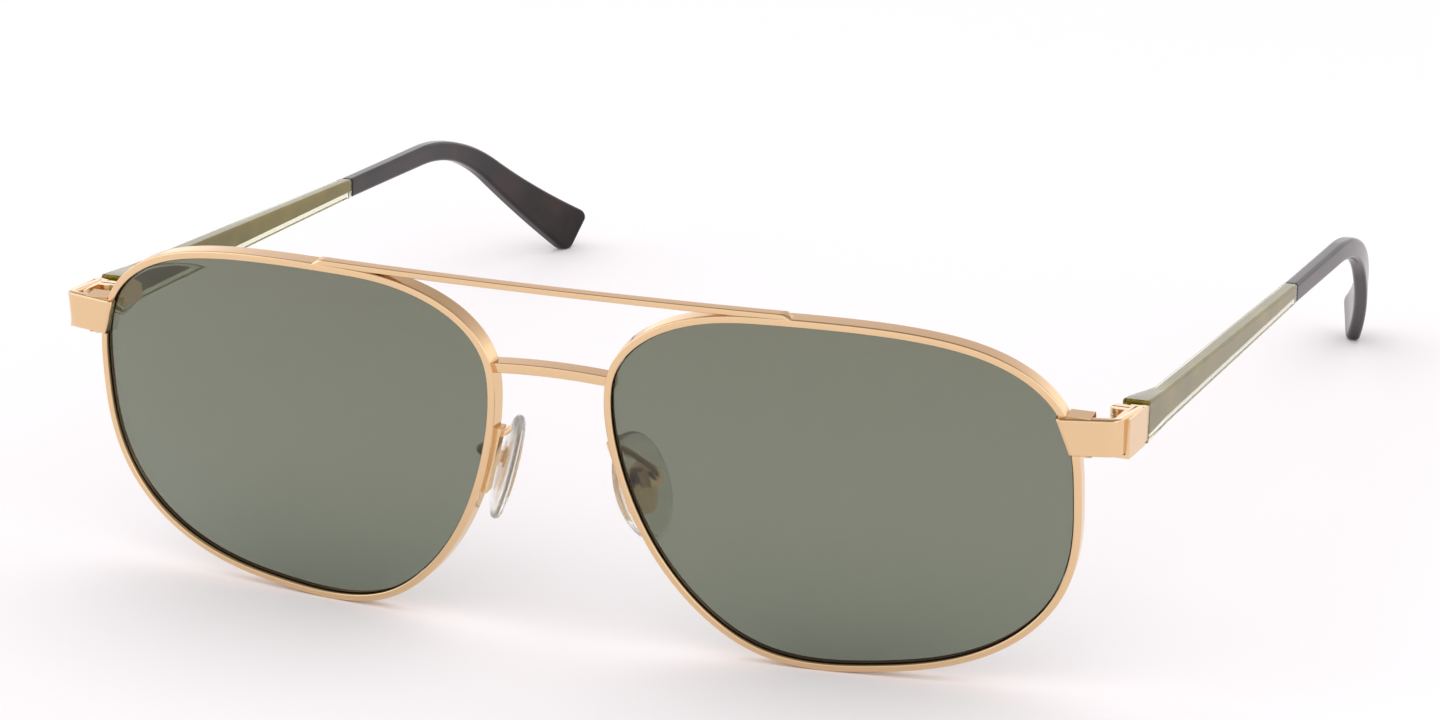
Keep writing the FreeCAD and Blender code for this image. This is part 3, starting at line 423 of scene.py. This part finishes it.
def matte_paper(colour):
    """Coated paper sweep: plain and matte, with a fine tooth of about 1 mm."""
    finish, tree = new_finish("matte_paper")
    place = add_node(tree, "ShaderNodeTexCoord").outputs["Object"]
    tooth = add_node(tree, "ShaderNodeTexNoise", {"Vector": place, "Scale": 1000.0})
    bump = add_node(tree, "ShaderNodeBump", {"Height": tooth.outputs["Fac"], "Strength": 0.05,
                                             "Distance": 0.00002})
    shader = add_node(tree, "ShaderNodeBsdfPrincipled", {
        "Base Color": colour, "Roughness": 0.9, "Specular IOR Level": 0.1,
        "Normal": bump.outputs["Normal"]})
    add_node(tree, "ShaderNodeOutputMaterial", {"Surface": shader.outputs["BSDF"]})
    return finish


FINISHES = {}


def finishes():
    """Every finish, made once from the panel's colours."""
    if not FINISHES:
        colours = bpy.context.scene.sunglasses_colours
        low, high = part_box("lens_left")
        FINISHES["gold_metal"] = polished_gold_plate(tuple(colours.metal))
        FINISHES["lens_tint"] = tinted_lens(tuple(colours.lens_upper), tuple(colours.lens_lower),
                                            low[2], high[2])
        # the lens edge's finish is painted shade, dark for the shadow inside the rim's channel
        FINISHES["lens_edge"] = ground_lens_edge(tuple(colours.lens_edge))
        FINISHES["clear_acetate"] = clear_acetate(tuple(colours.clear))
        FINISHES["olive_acetate"] = cloudy_acetate("olive_acetate", tuple(colours.core_dark),
                                                   tuple(colours.core_light), 9.0, 0.25, 0.2, 0.0)
        FINISHES["dark_acetate"] = cloudy_acetate("dark_acetate", tuple(colours.tip_dark),
                                                  tuple(colours.tip_light), 7.0, 0.16, 0.0, 0.3)
        FINISHES["silicone"] = clear_silicone(tuple(colours.pad))
        FINISHES["nickel_silver"] = drawn_nickel_silver(tuple(colours.wire))
    return FINISHES


# ------------------------------------------------------------------ sizes and colours a user would change

def millimetres(name, text, default):
    """A length property in mm."""
    return bpy.props.FloatProperty(name=name, description=text, default=default, min=0.0, unit="NONE")


def colour(name, text, code):
    """A colour property, from its sRGB hex."""
    return bpy.props.FloatVectorProperty(name=name, description=text, default=linear(code), size=4, min=0.0,
                                         max=1.0, subtype="COLOR")


class SunglassesColours(bpy.types.PropertyGroup):
    """Colours of the finishes."""
    metal: colour("Metal", "Gold plate on the frame's metal", "E6C59B")
    lens_upper: colour("Lens, upper", "Lens tint at the top, through the whole lens", "747867")
    lens_lower: colour("Lens, lower", "Lens tint at the bottom, through the whole lens", "7C8474")
    # painted shade: the lens edge's dark colour stands for the shadow inside the rim's channel
    lens_edge: colour("Lens edge", "Ground edge of the lenses", "2A2622")
    clear: colour("Clear acetate", "Clear outside of the temples", "F2F4DE")
    core_light: colour("Core, light", "Lighter shade of the coloured core", "A28F24")
    core_dark: colour("Core, dark", "Darker shade of the coloured core", "88791A")
    tip_light: colour("Tip, light", "Lighter shade of the tips", "2E201D")
    tip_dark: colour("Tip, dark", "Darker shade of the tips", "120D0E")
    pad: colour("Pads", "Silicone of the nose pads", "F2F1EA")
    wire: colour("Core wire", "Wire inside the temples", "C0BBAE")
    floor: colour("Floor", "Paper that the sunglasses lie on", "F9F8FA")


class SunglassesFront(bpy.types.PropertyGroup):
    """Sizes of the metal front and the lenses."""
    rim_face: millimetres("Rim face", "Width of the rim's front, mm", 0.95)
    rim_depth: millimetres("Rim depth", "Rim front to back, mm", 2.2)
    rim_round: millimetres("Rim rounding", "Radius of the rim's edges, mm", 0.2)
    lens_thickness: millimetres("Lens thickness", "Front face to back face, mm", 1.5)
    lens_setback: millimetres("Lens setback", "Lens front behind the rim's front, mm", 0.6)
    lens_bevel: millimetres("Lens bevel", "Bevel of the lens's edges, mm", 0.12)
    bar_round: millimetres("Bar rounding", "Radius of the brow bar's and bridge's edges, mm", 0.16)
    end_round: millimetres("End piece rounding", "Radius of the end pieces' edges, mm", 0.32)


class SunglassesTemples(bpy.types.PropertyGroup):
    """Sizes of the temples and the nose pads."""
    bar_round: millimetres("Temple rounding", "Radius of the clear acetate's edges, mm", 0.35)
    tip_round: millimetres("Tip rounding", "Radius of the tips' edges, mm", 0.55)
    skin_side: millimetres("Side skin", "Clear acetate beside the core, mm", 0.45)
    skin_top: millimetres("Top skin", "Clear acetate above the core, mm", 0.3)
    skin_bottom: millimetres("Bottom skin", "Clear acetate below the core, mm", 1.0)
    pad_length: millimetres("Pad length", "Nose pad top to bottom, mm", 14.0)
    pad_width: millimetres("Pad width", "Nose pad across, mm", 8.8)
    pad_thickness: millimetres("Pad thickness", "Nose pad face to back, mm", 2.0)


# ------------------------------------------------------------------ pieces

class SUNGLASSES_OT_rims(bpy.types.Operator):
    """Two metal rims, sawn through at the rim lock"""
    bl_idname = "sunglasses.rims"
    bl_label = "Rims"

    def execute(self, context):
        """A rounded section carried round the opening: place = opening + out * normal, at a depth."""
        sizes = context.scene.sunglasses_front
        points = opening(FINE)
        at_lock = np.where(points[:, 0] > 0, np.abs(points[:, 1] - END_UP), np.inf).argmin()
        half_saw = 0.1 / 165.0
        share = FINE[at_lock] + np.linspace(half_saw, 1.0 - half_saw, 321)
        face, depth = sizes.rim_face, sizes.rim_depth
        outline = section(np.array(face / 2), np.array(depth / 2), sizes.rim_round) + (face / 2, depth / 2)
        centre, way = OPENING(share)
        normal = np.stack([way[:, 1], -way[:, 0]], -1)
        plane = centre[:, None, :] + normal[:, None, :] * outline[None, :, :1]
        grid = front_point(plane[..., 0], plane[..., 1], outline[None, :, 1])
        paired("metal_rim", grid, rest, finishes()["gold_metal"], "front", "gold_metal", "rim")
        return {"FINISHED"}


class SUNGLASSES_OT_lenses(bpy.types.Operator):
    """Two curved tinted lenses"""
    bl_idname = "sunglasses.lenses"
    bl_label = "Lenses"

    def execute(self, context):
        """Rings from the middle of the front over the edge to the middle of the back.

        Ring point = share * (opening moved in), laid on the ball at the ring's depth.
        """
        sizes = context.scene.sunglasses_front
        bevel = sizes.lens_bevel
        front = sizes.lens_setback
        back = front + sizes.lens_thickness
        rings, edge_rings, inside = 12, 3, 0.04
        shares = np.concatenate([np.linspace(0.05, 0.95, rings), [1.0, 1.0], [1.0, 1.0],
                                 np.linspace(0.95, 0.05, rings)])
        inset = np.concatenate([np.full(rings, bevel), [bevel, 0.0], [0.0, bevel], np.full(rings, bevel)])
        depth = np.concatenate([np.full(rings + 1, front), [front + bevel, back - bevel],
                                np.full(rings + 1, back)])
        around = np.linspace(0.0, 1.0, 240, endpoint=False)
        point, way = OPENING(around)
        normal = np.stack([way[:, 1], -way[:, 0]], -1)
        plane = shares[:, None, None] * (point[None] - normal[None] * (inset[:, None, None] + inside))
        grid = front_point(plane[..., 0], plane[..., 1], depth[:, None])
        paired("tinted_lens", grid, rest, finishes()["lens_tint"], "front", "lens_tint", "lens")
        # the faces between the front's last ring and the back's first are the lens's edge, given painted
        # shade: dark for the shadow inside the rim's channel
        ring = np.arange(len(depth) - 1)
        painted_shade_faces = np.repeat((ring >= rings) & (ring < rings + edge_rings), len(around))
        for suffix, _ in SIDES:
            mesh = bpy.data.objects["tinted_lens" + suffix].data
            mesh.materials.append(finishes()["lens_edge"])
            kind = np.zeros(len(mesh.polygons), np.int32)
            kind[:len(painted_shade_faces)] = painted_shade_faces
            mesh.polygons.foreach_set("material_index", kind)
        return {"FINISHED"}


class SUNGLASSES_OT_bars(bpy.types.Operator):
    """The brow bar over the rims and the bridge between them"""
    bl_idname = "sunglasses.bars"
    bl_label = "Brow bar and bridge"

    def execute(self, context):
        """Rounded sections along X, bowed by a parabola: offset = size * (1 - (x / half)^2)."""
        sizes = context.scene.sunglasses_front
        half_length, height, depth, rise, back, bow, slope = 31.6, 0.8, 1.3, 0.55, 1.0, 0.8, 1.2
        outline = section(np.array(depth / 2), np.array(height / 2), sizes.bar_round)
        low = RIM_TOP + sizes.rim_face + rise - height
        share = np.linspace(-1.0, 1.0, 81)[:, None]
        x = share * (half_length - slope * (outline[None, :, 1] + height / 2) / height)
        y = back + depth / 2 - bow * (1.0 - share ** 2) + outline[None, :, 0]
        z = np.broadcast_to(low + height / 2 + outline[None, :, 1], x.shape)
        bar = skin("bowed_brow_bar", rest(np.stack(np.broadcast_arrays(x, y, z), -1)))
        even_shading(bar)
        fit_piece(bar, finishes()["gold_metal"], "front", "gold_metal", "brow_bar")

        up, height, depth, back, arch, droop = 12.0, 1.35, 2.0, 0.5, 0.35, 1.05
        outline = section(np.array(depth / 2), np.array(height / 2), sizes.bar_round)
        x = np.linspace(-8.45, 8.45, 41)[:, None]
        z = up + arch - (arch + droop) * (x / BRIDGE_GAP) ** 2 - height / 2 + outline[None, :, 1]
        y = back + depth / 2 + outline[None, :, 0]
        bridge = skin("arched_bridge", rest(np.stack(np.broadcast_arrays(x, y, z), -1)))
        even_shading(bridge)
        fit_piece(bridge, finishes()["gold_metal"], "front", "gold_metal", "bridge")
        return {"FINISHED"}


class SUNGLASSES_OT_end_pieces(bpy.types.Operator):
    """Two plates that turn back from the rims to the hinges"""
    bl_idname = "sunglasses.end_pieces"
    bl_label = "End pieces"

    def execute(self, context):
        """A tall rounded section carried along a plan path: straight, an arc, straight.

        The path starts on the lens opening and ends square to the temple, height by height.
        """
        sizes = context.scene.sunglasses_front
        plate, height, proud, lean, reach, length, flare = 1.1, 4.8, 0.55, 0.25, 6.4, 9.6, 0.6
        radius, drop, corner_back, drop_from = 1.7, 2.2, 0.7, 0.5
        start_in, hinge_in = 0.8, 2.7
        edge = front_point(temple_edge(END_UP), END_UP, 0.0)
        corner = np.array([edge[0] + reach, edge[1] + corner_back])
        start = np.array([edge[0] - start_in, edge[1] - proud - lean])
        rear = corner + (flare, length)
        way_in = (corner - start) / np.linalg.norm(corner - start)
        way_out = (rear - corner) / np.linalg.norm(rear - corner)
        turn = math.acos(way_in @ way_out)
        tangent = radius * math.tan(turn / 2)
        inward_in = np.array([-way_in[1], way_in[0]])
        centre = corner - way_in * tangent + inward_in * radius
        outline = section(np.array(plate / 2), np.array(height / 2), sizes.end_round) + (plate / 2, 0.0)
        inset, up = outline[:, 0], outline[:, 1]
        # straight from the lens opening
        first = np.linspace(0.0, 1.0, 12)[:, None]
        begin_x = front_point(temple_edge(END_UP + up), END_UP + up, 0.0)[:, 0]
        line = (begin_x - start[0]) / way_in[0]
        whole = np.linalg.norm(corner - start) - tangent
        along = line + (whole - line) * first
        face = start + way_in * along[..., None] + inward_in * inset[None, :, None]
        # round the corner
        angle = np.linspace(0.0, turn, 12)[1:-1, None]
        out = np.stack([-inward_in[0] * np.cos(angle) + way_in[0] * np.sin(angle),
                        -inward_in[1] * np.cos(angle) + way_in[1] * np.sin(angle)], -1)
        bend = centre + out * (radius - inset)[None, :, None]
        # back to the hinge: (y - hinge) cos - (z - hinge) sin = hinge_in at the end
        inward_out = np.array([-way_out[1], way_out[0]])
        leg_start = corner + way_out * tangent
        slope = drop / length
        bottom = END_UP - slope * (rear[1] - corner[1] - drop_from) + up
        end_y = HINGE[1] + (hinge_in + (bottom - HINGE[2]) * math.sin(PITCH)) / math.cos(PITCH)
        run = (end_y - leg_start[1] - inward_out[1] * inset) / way_out[1]
        leg = leg_start + way_out * (run * np.linspace(0.0, 1.0, 16)[:, None])[..., None]
        leg = leg + inward_out * inset[None, :, None]
        plan = np.concatenate([face, bend, leg])
        fall = slope * np.maximum(plan[..., 1] - corner[1] - drop_from, 0.0)
        grid = np.concatenate([plan, (END_UP + up[None, :] - fall)[..., None]], -1)
        paired("gold_end_piece", grid, rest, finishes()["gold_metal"], "front", "gold_metal", "end_piece")
        return {"FINISHED"}


TEMPLE_FACE = 2.9
SEAM_AT = 72.5
BEND_RADIUS = 40.0
HALF_DROP = math.radians(33.4) / 2
TANGENT = BEND_RADIUS * math.tan(HALF_DROP)
BEND_START = 109.0 - TANGENT
BEND_LENGTH = BEND_RADIUS * 2 * HALF_DROP
TEMPLE_END = BEND_START + BEND_LENGTH + 36.2 - TANGENT


def spine(s):
    """The temple's middle line: straight, an arc downwards, straight. Gives (y, z, angle down)."""
    turn = np.clip((s - BEND_START) / BEND_RADIUS, 0.0, 2 * HALF_DROP)
    rest_of = np.maximum(s - BEND_START - BEND_LENGTH, 0.0)
    y = np.minimum(s, BEND_START) + BEND_RADIUS * np.sin(turn) + rest_of * np.cos(turn)
    z = -BEND_RADIUS * (1.0 - np.cos(turn)) - rest_of * np.sin(turn)
    return y, z, turn


def half_height(s):
    """Half the temple's height: tapering bar, thin bend, widening end."""
    front, bar, seam, bend, end = 2.65, 2.35, 1.38, 1.45, 3.5
    middle = BEND_START + BEND_LENGTH / 2
    share = np.clip((s - TEMPLE_FACE) / (SEAM_AT - TEMPLE_FACE), 0.0, 1.0)
    straight = front + (bar - front) * ease((s - TEMPLE_FACE) / 9.0) + (seam - bar) * share
    thin = seam + (bend - seam) * ease((s - SEAM_AT) / (middle - SEAM_AT))
    far = (s - middle) / (TEMPLE_END - middle)
    wide = bend + (end - bend) * far * (0.5 + 0.5 * far)
    return np.where(s < SEAM_AT, straight, np.where(s < middle, thin, wide))


def faces_at(y):
    """(inner, outer) face of the temple in plan, thick at the hinge, and coming in at the tip."""
    half_bar, bar_middle = 1.0, 1.7
    thicker, thinned_at = 1.4, 9.0
    comes_in, comes_in_from = 7.0, 90.0
    end = spine(np.array(TEMPLE_END))[0]
    share = np.maximum(y - comes_in_from, 0.0) / (end - comes_in_from)
    middle = bar_middle - comes_in * share ** 3
    extra = thicker * (1.0 - ease((y - TEMPLE_FACE) / thinned_at))
    return middle - half_bar - extra, middle + half_bar


def temple_grid(s, side, top, bottom, radius, shrink=0.0):
    """Rounded sections along the spine, drawn in at the sides, top and bottom, some rows smaller."""
    y, z, turn = spine(s)
    half = half_height(s) - shrink
    high = half - (top + bottom) / 2
    inner, outer = faces_at(y)
    wide = (outer - inner) / 2 - side - shrink
    outline = section(wide, high, np.minimum(radius, np.minimum(wide, high) * 0.95))
    reach = outline[..., 1] + np.asarray((bottom - top) / 2)[..., None]
    yy = y[:, None] + reach * np.sin(turn)[:, None]
    zz = z[:, None] + reach * np.cos(turn)[:, None]
    inner, outer = faces_at(yy)
    return np.stack([(inner + outer) / 2 + outline[..., 0], yy, zz], -1)


def eased_ends(start, end, radius, count):
    """Distances from start to end, close together where the ends are rounded, and the rounding.

    Near an end the section shrinks by r - sqrt(r^2 - (r - d)^2), d being the way from the end.
    """
    close = radius * (1.0 - np.cos(np.linspace(0.0, math.pi / 2, 6)))
    s = np.concatenate([start + close, np.linspace(start + radius, end - radius, count)[1:-1],
                        (end - close)[::-1]])
    from_end = np.minimum(np.minimum(s - start, end - s), radius)
    return s, radius - np.sqrt(np.maximum(radius ** 2 - (radius - from_end) ** 2, 0.0))


class SUNGLASSES_OT_temples(bpy.types.Operator):
    """Clear acetate temples with a coloured core"""
    bl_idname = "sunglasses.temples"
    bl_label = "Temples"

    def execute(self, context):
        """Sleeve and core are rounded sections along the spine, the core drawn in on every side."""
        sizes = context.scene.sunglasses_temples
        rows, sleeve_rounding = 60, 0.25
        core_rounding, core_corner, front_gap, seam_gap = 0.1, 0.15, 0.12, 0.05
        s, shrink = eased_ends(TEMPLE_FACE, SEAM_AT, sleeve_rounding, rows)
        sleeve = temple_grid(s, 0.0, 0.0, 0.0, sizes.bar_round, shrink)
        paired("clear_sleeve", sleeve, rest_temple, finishes()["clear_acetate"], "temple", "clear_acetate",
               "temple_sleeve")
        s, shrink = eased_ends(TEMPLE_FACE + front_gap, SEAM_AT - seam_gap, core_rounding, rows)
        core = temple_grid(s, sizes.skin_side, sizes.skin_top, sizes.skin_bottom, core_corner, shrink)
        paired("coloured_core", core, rest_temple, finishes()["olive_acetate"], "temple", "olive_acetate",
               "temple_core")
        return {"FINISHED"}


class SUNGLASSES_OT_tips(bpy.types.Operator):
    """Dark acetate tips that bend down and widen to a straight end"""
    bl_idname = "sunglasses.tips"
    bl_label = "Tips"

    def execute(self, context):
        """Rounded sections along the spine; the end's corners are quarter circles in side view."""
        sizes = context.scene.sunglasses_temples
        corner, rounding, seam_share = 1.6, 0.5, 0.3
        s, _ = eased_ends(SEAM_AT, TEMPLE_END, rounding, 90)
        s = np.sort(np.concatenate([s, TEMPLE_END - corner * (1 - np.cos(np.linspace(0.3, 1.5, 10)))]))
        from_end = np.minimum(TEMPLE_END - s, corner)
        narrow = corner - np.sqrt(np.maximum(corner ** 2 - (corner - from_end) ** 2, 0.0))
        edge = np.minimum(np.minimum(s - SEAM_AT, TEMPLE_END - s), rounding)
        shrink = rounding - np.sqrt(np.maximum(rounding ** 2 - (rounding - edge) ** 2, 0.0))
        # the seam's edge is only lightly broken
        shrink = np.where(s < SEAM_AT + rounding, shrink * seam_share, shrink)
        taller = np.maximum(narrow - shrink, 0.0)
        grid = temple_grid(s, 0.0, taller, taller, sizes.tip_round, shrink)
        paired("dark_tip", grid, rest_temple, finishes()["dark_acetate"], "temple", "dark_acetate",
               "temple_tip")
        return {"FINISHED"}


class SUNGLASSES_OT_pads(bpy.types.Operator):
    """Two silicone nose pads"""
    bl_idname = "sunglasses.pads"
    bl_label = "Nose pads"

    def execute(self, context):
        """Domed ovals, out from the middle by |sin a|^fullness of the half oval.

        Through the pad they reach |cos a|^dome of the half thickness.
        """
        sizes = context.scene.sunglasses_temples
        splay, tilt = math.radians(25.0), math.radians(18.0)
        nose = np.array([-math.cos(splay) * math.cos(tilt), math.sin(splay) * math.cos(tilt),
                         -math.sin(tilt)])
        along = np.array([0.0, 0.0, 1.0]) - nose * nose[2]
        along = along / np.linalg.norm(along)
        across = np.cross(nose, along)
        a = np.linspace(0.0, math.pi, 33)[1:-1, None]
        b = np.linspace(0.0, 2 * math.pi, 72, endpoint=False)[None, :]
        fullness, dome = 0.42, 0.8
        out = np.abs(np.sin(a)) ** fullness
        through = np.sign(np.cos(a)) * np.abs(np.cos(a)) ** dome * sizes.pad_thickness / 2
        place = np.array([9.1, 5.9, -4.6])
        grid = (place + nose * (through + 0 * b)[..., None]
                + across * (out * np.cos(b) * sizes.pad_width / 2)[..., None]
                + along * (out * np.sin(b) * sizes.pad_length / 2)[..., None])
        paired("silicone_pad", grid, rest, finishes()["silicone"], "pad", "silicone", "nose_pad")
        return {"FINISHED"}


class SUNGLASSES_OT_fittings(bpy.types.Operator):
    """Finishes on the frame's own hinges, screws, rim locks, pad arms and core wires"""
    bl_idname = "sunglasses.fittings"
    bl_label = "Fittings"

    def execute(self, context):
        """Edges are broken by 0.06 mm, as tumbling leaves them."""
        shown = ("rim_lock_upper", "rim_lock_lower", "rim_lock_screw", "hinge_front_leaf",
                 "hinge_temple_leaf", "hinge_screw", "pad_arm", "pad_box", "pad_screw", "pad_insert",
                 "core_wire")
        for node in shown:
            for suffix, _ in SIDES:
                part = frame["nodes"][node + suffix]
                finish = "nickel_silver" if node == "core_wire" else "gold_metal"
                part.data.materials.clear()
                part.data.materials.append(finishes()[finish])
                weld = part.modifiers.new("joined", "WELD")
                weld.merge_threshold = 0.000002
                edges = part.modifiers.new("broken edges", "BEVEL")
                edges.width = 0.00006
                edges.segments = 2
                edges.limit_method = "ANGLE"
                edges.angle_limit = math.radians(40.0)
        return {"FINISHED"}


class SUNGLASSES_OT_stage(bpy.types.Operator):
    """Floor, camera and soft light"""
    bl_idname = "sunglasses.stage"
    bl_label = "Stage"

    def execute(self, context):
        """A broad floor, a sky that is bright low down and dim overhead, and soft lamps."""
        scene = context.scene
        half = 6.0
        mesh = bpy.data.meshes.new("floor")
        mesh.from_pydata([(-half, -half, 0), (half, -half, 0), (half, half, 0), (-half, half, 0)], [],
                         [(0, 1, 2, 3)])
        floor = bpy.data.objects.new("floor", mesh)
        scene.collection.objects.link(floor)
        mesh.materials.append(matte_paper(tuple(scene.sunglasses_colours.floor)))

        camera = bpy.data.cameras.new("camera")
        camera.lens = 112.5
        camera.sensor_width = 36.0
        camera.clip_start = 0.01
        holder = bpy.data.objects.new("camera", camera)
        holder.location = (0.20890, -0.54330, 0.21540)
        holder.rotation_euler = [math.radians(angle) for angle in (70.816, 0.465, 21.593)]
        scene.collection.objects.link(holder)
        scene.camera = holder

        world = bpy.data.worlds.new("studio")
        scene.world = world
        world.use_nodes = True
        tree = world.node_tree
        tree.nodes.clear()
        way = add_node(tree, "ShaderNodeTexCoord").outputs["Generated"]
        up = add_node(tree, "ShaderNodeSeparateXYZ", {"Vector": way}).outputs["Z"]
        ramp = add_node(tree, "ShaderNodeValToRGB", {"Fac": up})
        ramp.color_ramp.elements[0].position = 0.0
        ramp.color_ramp.elements[0].color = (0.95, 0.95, 0.96, 1.0)
        ramp.color_ramp.elements[1].position = 1.0
        ramp.color_ramp.elements[1].color = (0.2, 0.17, 0.15, 1.0)
        stop = ramp.color_ramp.elements.new(0.2)
        stop.color = (0.92, 0.92, 0.93, 1.0)
        stop = ramp.color_ramp.elements.new(0.42)
        stop.color = (0.62, 0.58, 0.61, 1.0)
        stop = ramp.color_ramp.elements.new(0.8)
        stop.color = (0.31, 0.29, 0.28, 1.0)
        sky = add_node(tree, "ShaderNodeBackground", {"Color": ramp.outputs["Color"], "Strength": 1.45})
        add_node(tree, "ShaderNodeOutputWorld", {"Surface": sky.outputs["Background"]})

        for name, place, size, power, glossy in (
                ("overhead lamp", (0.1, -0.1, 1.6), 3.0, 20.0, False),
                ("left lamp", (-1.0, -0.4, 0.7), 0.9, 1.5, True),
                ("right lamp", (1.1, -0.5, 0.6), 0.8, 1.1, True)):
            light = bpy.data.lights.new(name, "AREA")
            light.shape = "DISK"
            light.size = size
            light.energy = power
            lamp = bpy.data.objects.new(name, light)
            lamp.location = place
            aim = -np.array(place)
            lamp.rotation_euler = (math.acos(-aim[2] / np.linalg.norm(aim)), 0.0,
                                   math.atan2(aim[1], aim[0]) - math.pi / 2)
            lamp.visible_glossy = glossy
            scene.collection.objects.link(lamp)
        scene.view_settings.view_transform = "Standard"
        return {"FINISHED"}


class SUNGLASSES_PT_panel(bpy.types.Panel):
    """Sizes, colours and pieces of the sunglasses"""
    bl_idname = "SUNGLASSES_PT_panel"
    bl_label = "Sunglasses"
    bl_space_type = "VIEW_3D"
    bl_region_type = "UI"
    bl_category = "Sunglasses"

    def draw(self, context):
        """Every property, then a button for each piece."""
        scene = context.scene
        for group in (scene.sunglasses_front, scene.sunglasses_temples, scene.sunglasses_colours):
            column = self.layout.column(align=True)
            for key in type(group).__annotations__:
                column.prop(group, key)
        for operator in OPERATORS:
            self.layout.operator(operator.bl_idname)


GROUPS = {"sunglasses_colours": SunglassesColours, "sunglasses_front": SunglassesFront,
          "sunglasses_temples": SunglassesTemples}
OPERATORS = (SUNGLASSES_OT_rims, SUNGLASSES_OT_lenses, SUNGLASSES_OT_bars, SUNGLASSES_OT_end_pieces,
             SUNGLASSES_OT_temples, SUNGLASSES_OT_tips, SUNGLASSES_OT_pads, SUNGLASSES_OT_fittings,
             SUNGLASSES_OT_stage)


def register():
    """Adds the classes and hangs the property groups on the scene."""
    for group in GROUPS.values():
        bpy.utils.register_class(group)
    for key, group in GROUPS.items():
        setattr(bpy.types.Scene, key, bpy.props.PointerProperty(type=group))
    for operator in OPERATORS:
        bpy.utils.register_class(operator)
    bpy.utils.register_class(SUNGLASSES_PT_panel)


def unregister():
    """Takes them away again, last one first."""
    bpy.utils.unregister_class(SUNGLASSES_PT_panel)
    for operator in reversed(OPERATORS):
        bpy.utils.unregister_class(operator)
    for key in reversed(GROUPS):
        delattr(bpy.types.Scene, key)
    for group in reversed(GROUPS.values()):
        bpy.utils.unregister_class(group)


def main():
    """Builds every piece."""
    register()
    bpy.ops.sunglasses.rims()
    bpy.ops.sunglasses.lenses()
    bpy.ops.sunglasses.bars()
    bpy.ops.sunglasses.end_pieces()
    bpy.ops.sunglasses.temples()
    bpy.ops.sunglasses.tips()
    bpy.ops.sunglasses.pads()
    bpy.ops.sunglasses.fittings()
    bpy.ops.sunglasses.stage()


if __name__ == "__main__":
    main()
